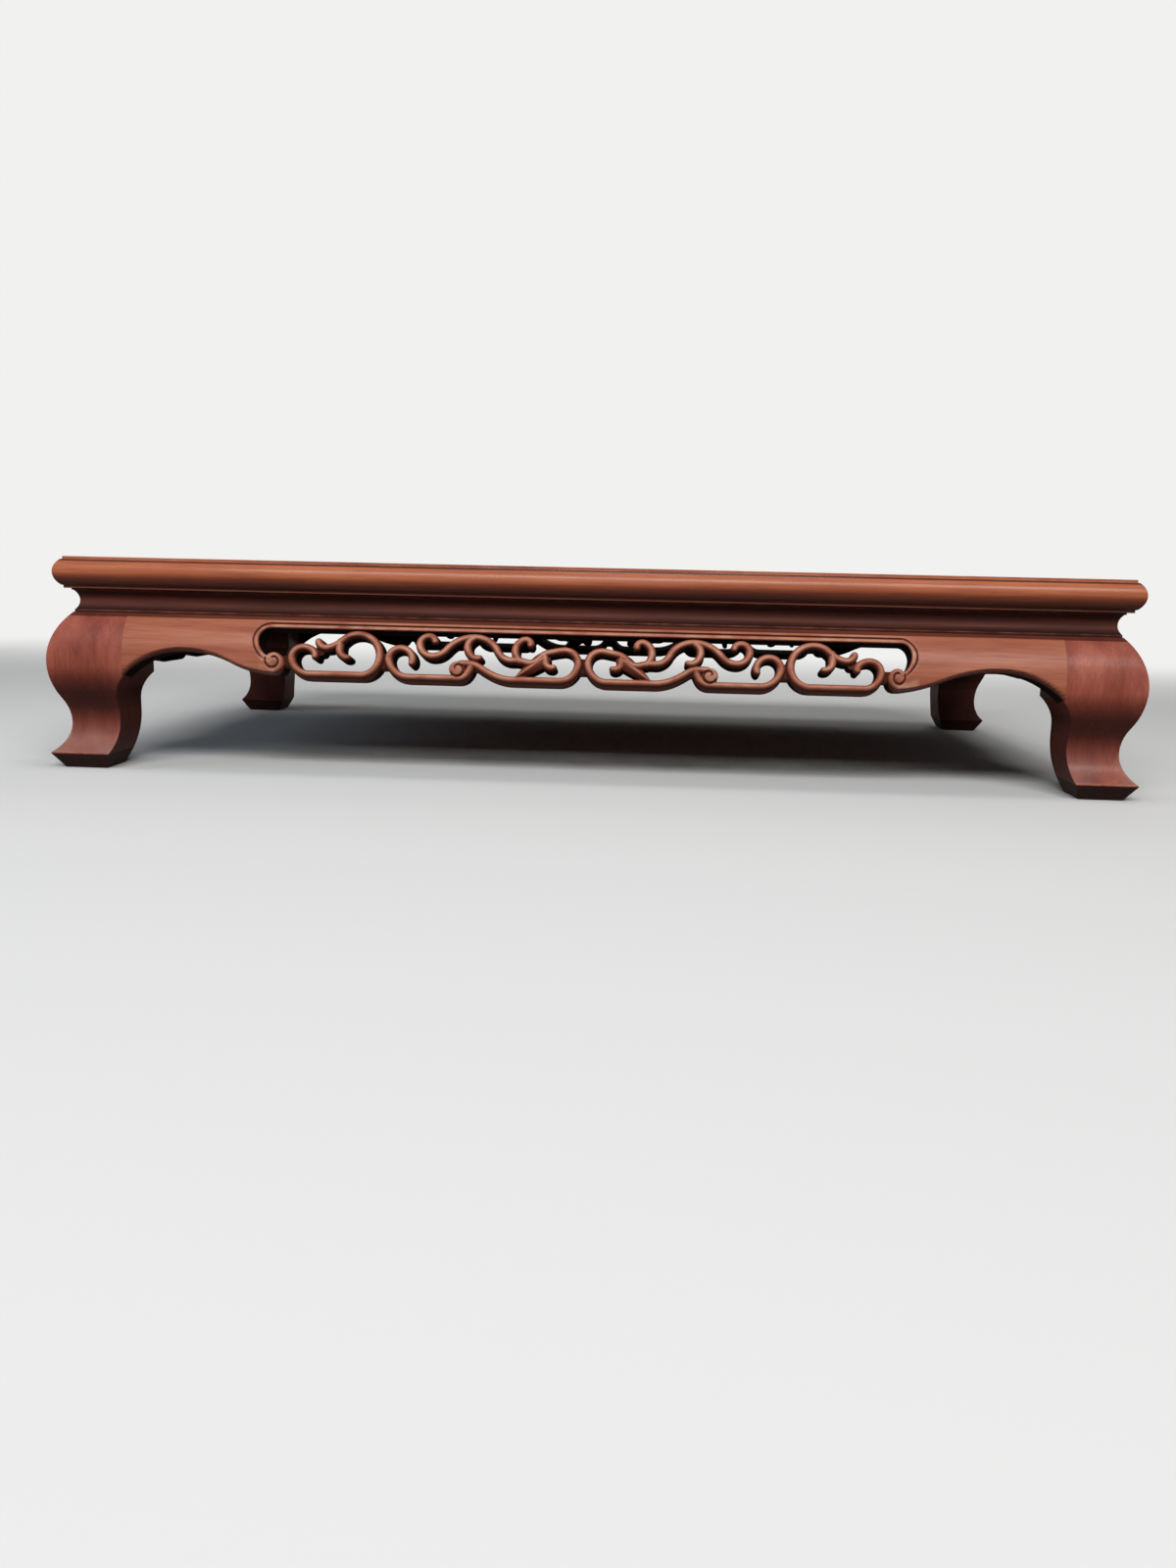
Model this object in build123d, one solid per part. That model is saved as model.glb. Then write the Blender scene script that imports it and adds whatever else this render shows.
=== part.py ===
from build123d import *
import math
import os

# Low display stand of the waisted kind, for showing an object on a table.
# A mitred frame holds a floating top panel, a coved waist runs round under it,
# and four bulging aprons, pierced with scrolls, join four square legs that
# bulge at the shoulder and turn outwards at the foot.
# Millimetres, +Z up, origin at the centre of the footprint on the ground.
# Insets are measured inwards from the vertical plane that the bulge touches.

# Overall sizes
LENGTH = 960
DEPTH = 550
HEIGHT = 189

# Heights of the outer profile, from the top down to the bulge and up from the ground
FRAME_THICKNESS = 28
WAIST_HEIGHT = 21
APRON_RISE = 44
WAIST_TOP = HEIGHT - FRAME_THICKNESS
APRON_TOP = WAIST_TOP - WAIST_HEIGHT
BULGE_HEIGHT = APRON_TOP - APRON_RISE
ANKLE_SHARE = 0.427
ANKLE_HEIGHT = ANKLE_SHARE * BULGE_HEIGHT
LIP_HEIGHT = 14.5
LIP_UNDERSIDE_HEIGHT = 13.2

# Insets of the outer profile
APRON_TOP_INSET = 18.4
ANKLE_INSET = 14.2
LIP_INSET = 0.3
SOLE_INSET = 9.2
SHIN_TURN_SHARE = 0.61

# Inner faces of the leg
LEG_SQUARE = 69
LEG_SQUARE_DROP = 12
CALF_INSET = 59.6
CALF_TOP_SHARE = 0.625
CALF_BOTTOM_SHARE = 0.5
HEEL_INSET = 47
POST_INSET = 34
LEG_TENON_SIZE = 12
LEG_TENON_HEIGHT = 9
LEG_TENON_NEAR_INSET = 38
LEG_TENON_FAR_INSET = 54

# Aprons
APRON_BACK_BOTTOM_INSET = 20
APRON_BACK_TURN_INSET = 22
APRON_BACK_TURN_RISE = 10
APRON_BACK_TOP_EDGE = 8
APRON_BLANK_DROP = 12
APRON_TENON_LENGTH = 18
APRON_TENON_THICKNESS = 8
APRON_TENON_INSET = 13
APRON_TENON_RISE = 2
APRON_TENON_BOTTOM = BULGE_HEIGHT + APRON_TENON_RISE
APRON_TENON_HEIGHT = 26

# The arch beside each leg, up from the seam between leg and apron
SEAM_DROP = 8.5
ARCH_RISE = 24
ARCH_PEAK_FROM_SEAM = 55
CURL_RISE = 3.7
SEAM_HEIGHT = BULGE_HEIGHT - SEAM_DROP
ARCH_PEAK_HEIGHT = SEAM_HEIGHT + ARCH_RISE
CURL_UNDERSIDE_HEIGHT = SEAM_HEIGHT + CURL_RISE

# Pierced scrolls, drawn on the plane that the bulge touches
PIERCING_TILT = 15
SCROLL_TOP_MARGIN = 6.5
SCROLL_BOTTOM = SEAM_HEIGHT
SCROLL_HEIGHT = APRON_TOP - SCROLL_TOP_MARGIN - SCROLL_BOTTOM
STROKE_WIDTH = 7
LEAF_WIDTH = 9
CURL_RADIUS = 9.2
VOLUTE_RADIUS = 6.5
WEB_RECESS = 6
WEB_WIDTH = 9

# Lengths of the motifs, as shares of half an apron between the legs
LONG_END_MOTIF_SHARE = 0.2676
CENTRE_MOTIF_SHARE = 0.4258
SHORT_END_MOTIF_SHARE = 0.534

# Shares of the motif's length outwards, and of the scroll height upwards
OVAL_RAIL_SHARES = ((0.20, 0.09), (0.618, 0.09))
OVAL_INNER_SHARES = ((0.04, 0.45), (0.215, 0.915), (0.34, 0.79), (0.46, 0.62), (0.541, 0.75))
OVAL_OUTER_SHARES = ((0.75, 0.36), (0.65, 0.615), (0.577, 0.543), (0.548, 0.385))
OVAL_HOOK_SHARES = ((0.36, 0.76), (0.365, 0.55), (0.30, 0.43))
OVAL_HOOK_HEADING = -75
LOOP_RAIL_SHARES = ((0.63, 0.08), (0.88, 0.08))
LOOP_INNER_SHARES = ((0.575, 0.20), (0.557, 0.37))
LOOP_OUTER_SHARES = ((0.976, 0.37), (0.905, 0.64), (0.858, 0.45), (0.861, 0.35))
WAVE_RAIL_SHARES = ((0.12, 0.08), (0.35, 0.08))
WAVE_INNER_SHARES = (
    (0.054, 0.18),
    (0.026, 0.37),
    (0.103, 0.68),
    (0.172, 0.625),
    (0.217, 0.51),
    (0.286, 0.425),
    (0.354, 0.455),
    (0.429, 0.625),
    (0.537, 0.91),
    (0.629, 0.83),
    (0.686, 0.64),
    (0.76, 0.50),
    (0.823, 0.71),
    (0.794, 0.90),
    (0.747, 0.80),
)
WAVE_OUTER_SHARES = ((0.457, 0.17), (0.514, 0.295), (0.571, 0.37), (0.62, 0.37))
CREST_HOOK_SHARES = ((0.555, 0.88), (0.582, 0.69), (0.564, 0.53), (0.52, 0.49))
CREST_HOOK_HEADING = -30
MIDDLE_HOOK_SHARES = ((0.315, 0.44), (0.341, 0.64), (0.303, 0.88), (0.266, 0.77))
MIDDLE_HOOK_HEADING = 40
INNER_HOOK_SHARES = ((0.195, 0.59), (0.188, 0.43), (0.148, 0.34))
INNER_HOOK_HEADING = -100
LEAF_SHARES = ((0.20, 0.50), (0.325, 0.15))
VOLUTE_SHARES = (0.63, 0.255)
CURL_SHARES = (0.891, 0.294)
OPENING_SHOULDER_SHARES = (0.928, 1.0)
OPENING_END_SHARES = (1.033, 0.72)
OPENING_CREVICE_SHARES = (0.95, 0.42)
WEB_BOTTOM_SHARE = 0.25
WEB_TOP_SHARE = 0.53
CURL_WEB_SHARE = 0.79

# Waist
WAIST_FOOT_INSET = 19.4
WAIST_COVE_INSET = 23
WAIST_HEAD_INSET = 19.1
WAIST_FILLET_INSET = 18
WAIST_FOOT_HEIGHT = 2
WAIST_FILLET_HEIGHT = 1.6
PIN_WIDTH = 14
PIN_THICKNESS = 5
PIN_INSET = 26
PIN_IN_APRON = 8
PIN_IN_FRAME = 8
LONG_SIDE_PINS = 3
SHORT_SIDE_PINS = 2

# Top frame and panel
FRAME_WIDTH = 65
NOSE_INSET = 6.5
NOSE_EDGE_INSET = 12
FRAME_EDGE_INSET = 13.2
FRAME_EDGE_HEIGHT = 2.1
CORNER_TENON_THICKNESS = 8
CORNER_TENON_RISE = 10
CORNER_TENON_BOTTOM = WAIST_TOP + CORNER_TENON_RISE
CORNER_TENON_NEAR_INSET = 32
CORNER_TENON_FAR_INSET = 64
CORNER_TENON_END_INSET = 22
PANEL_THICKNESS = 13
PANEL_GAP = 0.5
TONGUE_THICKNESS = 6
TONGUE_LENGTH = 8
TONGUE_SEAT = 1
BATTEN_WIDTH = 42
BATTEN_THICKNESS = 12
BATTEN_KEY_HEIGHT = 4
BATTEN_KEY_TOP_WIDTH = 24
BATTEN_KEY_NECK_WIDTH = 20
BATTEN_TENON_LENGTH = 12
BATTEN_TENON_WIDTH = 30
BATTEN_TENON_THICKNESS = 7
BATTEN_SPACING = 260

# Fits and tool overrun
FIT = 0.15
OVERRUN = 20


def arc(start, end, tangent):
    """Arc from start to end that leaves start along tangent."""
    return TangentArc(start, end, tangent=tangent)


def outer_profile(bottom):
    """Outer profile from its top edge down to the height bottom on the shin, as edges."""
    top = (APRON_TOP_INSET, APRON_TOP)
    bulge = (0, BULGE_HEIGHT)
    shoulder = arc(bulge, top, (0, 1))
    shin = arc(bulge, shin_turn(), (0, -1))
    if bottom is None:
        return [shoulder, shin]
    cut_share = (BULGE_HEIGHT - bottom) / (BULGE_HEIGHT - shin_turn()[1])
    return [shoulder, shin.trim(0, cut_share)]


def shin_turn():
    """Point where the bulge turns into the hollow of the ankle."""
    drop = (BULGE_HEIGHT - ANKLE_HEIGHT) * SHIN_TURN_SHARE
    return (ANKLE_INSET * SHIN_TURN_SHARE, BULGE_HEIGHT - drop)


def leg_face():
    """Section of a leg across one of its outer faces: inset by height."""
    ankle = (ANKLE_INSET, ANKLE_HEIGHT)
    lip = (LIP_INSET, LIP_HEIGHT)
    lip_underside = (LIP_INSET, LIP_UNDERSIDE_HEIGHT)
    sole = (SOLE_INSET, 0)
    heel = (HEEL_INSET, 0)
    calf_bottom = (CALF_INSET, CALF_BOTTOM_SHARE * BULGE_HEIGHT)
    calf_top = (CALF_INSET, CALF_TOP_SHARE * BULGE_HEIGHT)
    square_bottom = (LEG_SQUARE, BULGE_HEIGHT - LEG_SQUARE_DROP)
    square_top = (LEG_SQUARE, APRON_TOP)
    edges = outer_profile(None)
    edges.append(arc(ankle, shin_turn(), (0, 1)))
    edges.append(arc(ankle, lip, (0, -1)))
    edges.append(Line(lip, lip_underside))
    edges.append(Line(lip_underside, sole))
    edges.append(Line(sole, heel))
    edges.append(arc(calf_bottom, heel, (0, -1)))
    edges.append(Line(calf_bottom, calf_top))
    edges.append(arc(calf_top, square_bottom, (0, 1)))
    edges.append(Line(square_bottom, square_top))
    edges.append(Line(square_top, (APRON_TOP_INSET, APRON_TOP)))
    return make_face(edges)


def block(low, high):
    """Box between two opposite corners."""
    size = [high[i] - low[i] for i in range(3)]
    return Pos(*low) * Box(*size, align=(Align.MIN, Align.MIN, Align.MIN))


def leg():
    """One leg, with its outer corner at the origin and insets along +X and +Y."""
    section = leg_face()
    along_y = Plane(origin=(0, 0, 0), x_dir=(1, 0, 0), z_dir=(0, -1, 0))
    along_x = Plane(origin=(0, 0, 0), x_dir=(0, 1, 0), z_dir=(1, 0, 0))
    seen_from_front = extrude(along_y * section, amount=-LEG_SQUARE)
    seen_from_side = extrude(along_x * section, amount=LEG_SQUARE)
    body = seen_from_front & seen_from_side
    body += block((POST_INSET, POST_INSET, APRON_TOP), (LEG_SQUARE, LEG_SQUARE, WAIST_TOP))
    for near_x in (True, False):
        body += leg_tenon(near_x, 0)
        body -= apron_mortise(near_x)
    return body


def leg_tenon(near_x, clearance):
    """Tenon on top of the post, or its mortise when it has a clearance."""
    near = LEG_TENON_NEAR_INSET
    far = LEG_TENON_FAR_INSET
    x, y = (near, far) if near_x else (far, near)
    low = (x - clearance, y - clearance, WAIST_TOP)
    high = (
        x + LEG_TENON_SIZE + clearance,
        y + LEG_TENON_SIZE + clearance,
        WAIST_TOP + LEG_TENON_HEIGHT + clearance,
    )
    return block(low, high)


def apron_mortise(near_x):
    """Cut in a leg that takes the tenon of the apron beside it."""
    depth = LEG_SQUARE - APRON_TENON_LENGTH - FIT
    thin = APRON_TENON_INSET - FIT
    thick = APRON_TENON_INSET + APRON_TENON_THICKNESS + FIT
    bottom = APRON_TENON_BOTTOM - FIT
    top = APRON_TENON_BOTTOM + APRON_TENON_HEIGHT + FIT
    if near_x:
        return block((thin, depth, bottom), (thick, LEG_SQUARE, top))
    return block((depth, thin, bottom), (LEG_SQUARE, thick, top))


def scroll_point(shares, start, length):
    """Point of the pattern from its shares of a motif that begins at start."""
    return (start + shares[0] * length, SCROLL_BOTTOM + shares[1] * SCROLL_HEIGHT)


def flowing_line(first, direction, points):
    """Chain of arcs through the points, each tangent to the one before it."""
    edges = []
    for point in points:
        edges.append(arc(first, point, direction))
        first = point
        direction = edges[-1] % 1
    return edges


def stroke(edges, width):
    """Face of a carved stroke with round ends along a centre line."""
    return Face(Wire(edges).offset_2d(width / 2))


def hook(shares, heading, start, length):
    """Stroke that leaves its first point at a heading in degrees."""
    points = [scroll_point(share, start, length) for share in shares]
    direction = (math.cos(math.radians(heading)), math.sin(math.radians(heading)))
    return stroke(flowing_line(points[0], direction, points[1:]), STROKE_WIDTH)


def railed_scroll(rail_shares, inner_shares, outer_shares, start, length):
    """Stroke with a straight rail that flows on into arcs at both of its ends."""
    inner_end, outer_end = [scroll_point(share, start, length) for share in rail_shares]
    inner = [scroll_point(share, start, length) for share in inner_shares]
    outer = [scroll_point(share, start, length) for share in outer_shares]
    edges = flowing_line(inner_end, (-1, 0), inner)
    edges.append(Line(inner_end, outer_end))
    edges += flowing_line(outer_end, (1, 0), outer)
    return stroke(edges, STROKE_WIDTH)


def disc(shares, radius, start, length):
    """Round end of a scroll."""
    return Pos(*scroll_point(shares, start, length)) * Circle(radius)


def motif_lengths(half_run, with_centre):
    """Lengths of the centre motif and of the end motif along half an apron."""
    if with_centre:
        return CENTRE_MOTIF_SHARE * half_run, LONG_END_MOTIF_SHARE * half_run
    return 0, SHORT_END_MOTIF_SHARE * half_run


def end_motif(start, length):
    """Closed oval with its hook, and the curl that ends the apron's panel."""
    return [
        railed_scroll(OVAL_RAIL_SHARES, OVAL_INNER_SHARES, OVAL_OUTER_SHARES, start, length),
        hook(OVAL_HOOK_SHARES, OVAL_HOOK_HEADING, start, length),
        disc(CURL_SHARES, CURL_RADIUS, start, length),
    ]


def centre_motif(length):
    """Loop, long wave with its hooks, and leaf, on one side of the middle."""
    leaf = [scroll_point(share, 0, length) for share in LEAF_SHARES]
    return [
        railed_scroll(LOOP_RAIL_SHARES, LOOP_INNER_SHARES, LOOP_OUTER_SHARES, 0, length),
        railed_scroll(WAVE_RAIL_SHARES, WAVE_INNER_SHARES, WAVE_OUTER_SHARES, 0, length),
        hook(CREST_HOOK_SHARES, CREST_HOOK_HEADING, 0, length),
        hook(MIDDLE_HOOK_SHARES, MIDDLE_HOOK_HEADING, 0, length),
        hook(INNER_HOOK_SHARES, INNER_HOOK_HEADING, 0, length),
        stroke([Line(*leaf)], LEAF_WIDTH),
        disc(VOLUTE_SHARES, VOLUTE_RADIUS, 0, length),
    ]


def web(centre):
    """Recessed bridge between two strokes that stand side by side."""
    bottom = SCROLL_BOTTOM + WEB_BOTTOM_SHARE * SCROLL_HEIGHT
    height = (WEB_TOP_SHARE - WEB_BOTTOM_SHARE) * SCROLL_HEIGHT
    corner = Rectangle(WEB_WIDTH, height, align=(Align.CENTER, Align.MIN))
    return Pos(centre, bottom) * corner


def mirrored(face):
    """A face and its mirror image across the middle of the apron."""
    return [face, mirror(face, about=Plane.YZ)]


def half_panel(half_run, motif_start, length):
    """Plain part of the apron on one side: from the leg to the curl, and the rail above."""
    crevice = scroll_point(OPENING_CREVICE_SHARES, motif_start, length)
    end = scroll_point(OPENING_END_SHARES, motif_start, length)
    shoulder = scroll_point(OPENING_SHOULDER_SHARES, motif_start, length)
    curl = scroll_point(CURL_SHARES, motif_start, length)
    curl_underside = (curl[0], CURL_UNDERSIDE_HEIGHT)
    peak = (half_run - ARCH_PEAK_FROM_SEAM, ARCH_PEAK_HEIGHT)
    turn = ((curl[0] + peak[0]) / 2, (CURL_UNDERSIDE_HEIGHT + ARCH_PEAK_HEIGHT) / 2)
    seam = (half_run, SEAM_HEIGHT)
    top = APRON_TOP + OVERRUN
    edges = [
        Line((0, shoulder[1]), shoulder),
        arc(shoulder, end, (1, 0)),
    ]
    edges.append(arc(end, crevice, edges[-1] % 1))
    edges += [
        Line(crevice, curl),
        Line(curl, curl_underside),
        arc(curl_underside, turn, (1, 0)),
        arc(peak, turn, (-1, 0)),
        arc(peak, seam, (1, 0)),
        Line(seam, (half_run, top)),
        Line((half_run, top), (0, top)),
        Line((0, top), (0, shoulder[1])),
    ]
    return make_face(edges)


def apron_section():
    """Section of an apron: bulging front, thick top edge and a hollowed back."""
    bottom = SEAM_HEIGHT - APRON_BLANK_DROP
    edges = outer_profile(bottom)
    front_bottom = edges[-1] @ 1
    corners = [
        (front_bottom.X, front_bottom.Y),
        (APRON_BACK_BOTTOM_INSET, bottom),
        (APRON_BACK_TURN_INSET, BULGE_HEIGHT + APRON_BACK_TURN_RISE),
        (POST_INSET, APRON_TOP - APRON_BACK_TOP_EDGE),
        (POST_INSET, APRON_TOP),
        (APRON_TOP_INSET, APRON_TOP),
    ]
    edges += [Line(a, b) for a, b in zip(corners, corners[1:])]
    return make_face(edges)


def apron(run, reach, with_centre):
    """Apron of a side that is run long, with its bulge in the plane y = -reach."""
    half_run = run / 2 - LEG_SQUARE
    centre_length, end_length = motif_lengths(half_run, with_centre)
    strokes = end_motif(centre_length, end_length)
    webs = [web(centre_length + CURL_WEB_SHARE * end_length), web(0)]
    if with_centre:
        strokes += centre_motif(centre_length)
        webs.append(web(centre_length))
    pattern = Sketch()
    for face in [half_panel(half_run, centre_length, end_length)] + strokes:
        pattern += mirrored(face)
    bridges = Sketch()
    for face in webs:
        bridges += mirrored(face)
    front = Plane(origin=(0, -reach, 0), x_dir=(1, 0, 0), z_dir=(0, -1, 0))
    tilt = math.radians(PIERCING_TILT)
    inwards = Vector(0, math.cos(tilt), -math.sin(tilt))
    travel = POST_INSET / math.cos(tilt) + OVERRUN
    across = Plane(origin=(-half_run, -reach, 0), x_dir=(0, 1, 0), z_dir=(1, 0, 0))
    blank = extrude(across * apron_section(), amount=2 * half_run)
    body = blank & extrude(front * pattern, amount=travel, dir=inwards)
    recessed = blank & Pos(0, WEB_RECESS, 0) * blank
    body += recessed & extrude(front * bridges, amount=travel, dir=inwards)
    for side in (-1, 1):
        body += apron_tenon(side, half_run, reach)
    return body - pins(run, reach, FIT)


def apron_tenon(side, half_run, reach):
    """Tongue on the end of an apron that enters the leg."""
    near, far = sorted((side * half_run, side * (half_run + APRON_TENON_LENGTH)))
    low = (near, APRON_TENON_INSET - reach, APRON_TENON_BOTTOM)
    high = (
        far,
        APRON_TENON_INSET + APRON_TENON_THICKNESS - reach,
        APRON_TENON_BOTTOM + APRON_TENON_HEIGHT,
    )
    return block(low, high)


def mitred(section, run, reach):
    """Bar of a side's frame, cut to 45 degrees at both corners."""
    across = Plane(origin=(-run / 2, -reach, 0), x_dir=(0, 1, 0), z_dir=(1, 0, 0))
    bar = extrude(across * section, amount=run)
    depth = FRAME_EDGE_INSET + FRAME_WIDTH
    outline = Polyline(
        (-run / 2, -reach),
        (run / 2, -reach),
        (run / 2 - depth, depth - reach),
        (depth - run / 2, depth - reach),
        close=True,
    )
    return bar & extrude(make_face(outline), amount=HEIGHT)


def waist_section():
    """Section of the waist: a foot, a cove and a narrow fillet under the frame."""
    foot = (WAIST_FOOT_INSET, APRON_TOP)
    foot_top = (WAIST_FOOT_INSET, APRON_TOP + WAIST_FOOT_HEIGHT)
    head = (WAIST_HEAD_INSET, WAIST_TOP - WAIST_FILLET_HEIGHT)
    deepest = (WAIST_COVE_INSET, (foot_top[1] + head[1]) / 2)
    fillet_bottom = (WAIST_FILLET_INSET, WAIST_TOP - WAIST_FILLET_HEIGHT)
    fillet_top = (WAIST_FILLET_INSET, WAIST_TOP)
    edges = [
        Line(foot, foot_top),
        ThreePointArc(foot_top, deepest, head),
        Polyline(head, fillet_bottom, fillet_top, (POST_INSET, WAIST_TOP)),
        Polyline((POST_INSET, WAIST_TOP), (POST_INSET, APRON_TOP), foot),
    ]
    return make_face(edges)


def pin_places(run):
    """Places of the loose pins along a side, evenly spaced."""
    count = LONG_SIDE_PINS if run == LENGTH else SHORT_SIDE_PINS
    clear_run = run - 2 * LEG_SQUARE
    return [clear_run * ((i + 0.5) / count - 0.5) for i in range(count)]


def pins(run, reach, clearance):
    """Loose pins that run up from the apron through the waist into the frame."""
    low_y = PIN_INSET - reach - clearance
    high_y = low_y + PIN_THICKNESS + 2 * clearance
    bottom = APRON_TOP - PIN_IN_APRON - clearance
    top = WAIST_TOP + PIN_IN_FRAME + clearance
    half = PIN_WIDTH / 2 + clearance
    solids = [block((x - half, low_y, bottom), (x + half, high_y, top)) for x in pin_places(run)]
    return Part() + solids


def waist(run, reach):
    """Coved strip between the apron and the top frame."""
    return mitred(waist_section(), run, reach) - pins(run, reach, FIT)


def frame_section():
    """Section of the top frame: round nose between two narrow edges, grooved for the panel."""
    inner = FRAME_EDGE_INSET + FRAME_WIDTH
    bottom = WAIST_TOP + FRAME_EDGE_HEIGHT
    top = HEIGHT - FRAME_EDGE_HEIGHT
    nose = (NOSE_INSET, (WAIST_TOP + HEIGHT) / 2)
    groove_top = HEIGHT - PANEL_THICKNESS + TONGUE_SEAT + TONGUE_THICKNESS + FIT
    groove_bottom = HEIGHT - PANEL_THICKNESS + TONGUE_SEAT - FIT
    groove_inset = inner - TONGUE_LENGTH - PANEL_GAP
    edges = [
        Polyline((FRAME_EDGE_INSET, WAIST_TOP), (FRAME_EDGE_INSET, bottom), (NOSE_EDGE_INSET, bottom)),
        ThreePointArc((NOSE_EDGE_INSET, bottom), nose, (NOSE_EDGE_INSET, top)),
        Polyline((NOSE_EDGE_INSET, top), (FRAME_EDGE_INSET, top), (FRAME_EDGE_INSET, HEIGHT)),
        Polyline((FRAME_EDGE_INSET, HEIGHT), (inner, HEIGHT), (inner, groove_top)),
        Polyline((inner, groove_top), (groove_inset, groove_top), (groove_inset, groove_bottom)),
        Polyline((groove_inset, groove_bottom), (inner, groove_bottom), (inner, WAIST_TOP)),
        Line((inner, WAIST_TOP), (FRAME_EDGE_INSET, WAIST_TOP)),
    ]
    return make_face(edges)


def corner_tenon(side, run, reach, clearance):
    """Blind tenon of a long frame bar that enters the short one at a corner."""
    near, far = sorted((
        side * (run / 2 - CORNER_TENON_END_INSET + clearance),
        side * (run / 2 - CORNER_TENON_FAR_INSET),
    ))
    low = (near, CORNER_TENON_NEAR_INSET - reach - clearance, CORNER_TENON_BOTTOM - clearance)
    high = (
        far,
        CORNER_TENON_FAR_INSET - reach + clearance,
        CORNER_TENON_BOTTOM + CORNER_TENON_THICKNESS + clearance,
    )
    return block(low, high)


def batten_places():
    """Places of the battens along the length."""
    return {"batten_left": -BATTEN_SPACING, "batten_center": 0, "batten_right": BATTEN_SPACING}


def batten_tenons(clearance):
    """Tenons of every batten, or the mortises for them in the long frame bars."""
    half_span = DEPTH / 2 - FRAME_EDGE_INSET - FRAME_WIDTH
    half_width = BATTEN_TENON_WIDTH / 2 + clearance
    reach = half_span + BATTEN_TENON_LENGTH + clearance
    bottom = batten_bottom() + (BATTEN_THICKNESS - BATTEN_TENON_THICKNESS) / 2 - clearance
    top = bottom + BATTEN_TENON_THICKNESS + 2 * clearance
    solids = []
    for x in batten_places().values():
        solids.append(block((x - half_width, -reach, bottom), (x + half_width, reach, top)))
    return solids


def batten_bottom():
    """Height of the underside of the battens."""
    return HEIGHT - PANEL_THICKNESS - BATTEN_THICKNESS


def leg_mortises():
    """Cuts in the frame that take the tenons on top of the four legs."""
    shape = Part()
    for place in leg_places().values():
        for near_x in (True, False):
            shape += place * leg_tenon(near_x, FIT)
    return shape


def frame_bar(run, reach, turn):
    """Bar of the top frame, at its own side of the table."""
    bar = mitred(frame_section(), run, reach) - pins(run, reach, FIT)
    if run == LENGTH:
        for side in (-1, 1):
            bar += corner_tenon(side, run, reach, 0)
    bar = turn * bar
    if run != LENGTH:
        for across in (0, 180):
            for side in (-1, 1):
                bar -= Rot(0, 0, across) * corner_tenon(side, LENGTH, DEPTH / 2, FIT)
    else:
        for mortise in batten_tenons(FIT):
            bar -= mortise
    return bar - leg_mortises()


def panel_plate(inset, bottom, top):
    """Plate that reaches to an inset from the bulge planes."""
    x = LENGTH / 2 - inset
    y = DEPTH / 2 - inset
    return block((-x, -y, bottom), (x, y, top))


def batten_key(x, clearance):
    """Dovetail along the top of a batten, or its housing in the panel."""
    bottom = HEIGHT - PANEL_THICKNESS
    neck = BATTEN_KEY_NECK_WIDTH / 2 + clearance
    head = BATTEN_KEY_TOP_WIDTH / 2 + clearance
    top = bottom + BATTEN_KEY_HEIGHT + clearance
    half_span = DEPTH / 2 - FRAME_EDGE_INSET - FRAME_WIDTH - PANEL_GAP
    outline = Polyline((x - neck, bottom), (x + neck, bottom), (x + head, top), (x - head, top), close=True)
    face = Plane(origin=(0, half_span, 0), x_dir=(1, 0, 0), z_dir=(0, -1, 0)) * make_face(outline)
    return extrude(face, amount=2 * half_span)


def top_panel():
    """Floating panel, with a tongue all round and housings for the battens."""
    inner = FRAME_EDGE_INSET + FRAME_WIDTH
    bottom = HEIGHT - PANEL_THICKNESS
    plate = panel_plate(inner + PANEL_GAP, bottom, HEIGHT)
    tongue_bottom = bottom + TONGUE_SEAT
    plate += panel_plate(inner - TONGUE_LENGTH, tongue_bottom, tongue_bottom + TONGUE_THICKNESS)
    for x in batten_places().values():
        plate -= batten_key(x, FIT)
    return plate


def batten(x, tenon):
    """Cross batten that holds the panel flat and ties the long frame bars."""
    half_span = DEPTH / 2 - FRAME_EDGE_INSET - FRAME_WIDTH
    half_width = BATTEN_WIDTH / 2
    bar = block(
        (x - half_width, -half_span, batten_bottom()),
        (x + half_width, half_span, HEIGHT - PANEL_THICKNESS),
    )
    return bar + batten_key(x, 0) + tenon


def leg_places():
    """Place of each leg, turned so that its outer corner points outwards."""
    x = LENGTH / 2
    y = DEPTH / 2
    return {
        "leg_front_left": Pos(-x, -y) * Rot(0, 0, 0),
        "leg_front_right": Pos(x, -y) * Rot(0, 0, 90),
        "leg_back_right": Pos(x, y) * Rot(0, 0, 180),
        "leg_back_left": Pos(-x, y) * Rot(0, 0, 270),
    }


def sides():
    """Name, length, reach and turn of each side of the table."""
    return [
        ("front", LENGTH, DEPTH / 2, Rot(0, 0, 0)),
        ("right", DEPTH, LENGTH / 2, Rot(0, 0, 90)),
        ("back", LENGTH, DEPTH / 2, Rot(0, 0, 180)),
        ("left", DEPTH, LENGTH / 2, Rot(0, 0, 270)),
    ]


def build():
    """All pieces of the stand by name."""
    pieces = {}
    one_leg = leg()
    for name, place in leg_places().items():
        pieces[name] = place * one_leg
    all_pins = Part()
    for name, run, reach, turn in sides():
        pieces["apron_" + name] = turn * apron(run, reach, run == LENGTH)
        pieces["waist_" + name] = turn * waist(run, reach)
        pieces["top_frame_" + name] = frame_bar(run, reach, turn)
        all_pins += turn * pins(run, reach, 0)
    pieces["waist_pins"] = all_pins
    pieces["top_panel"] = top_panel()
    tenons = batten_tenons(0)
    for (name, x), tenon in zip(batten_places().items(), tenons):
        pieces[name] = batten(x, tenon)
    return pieces


os.makedirs("parts", exist_ok=True)
for node, shape in build().items():
    shape.label = node
    export_step(shape, f"parts/{node}.step")
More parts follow.
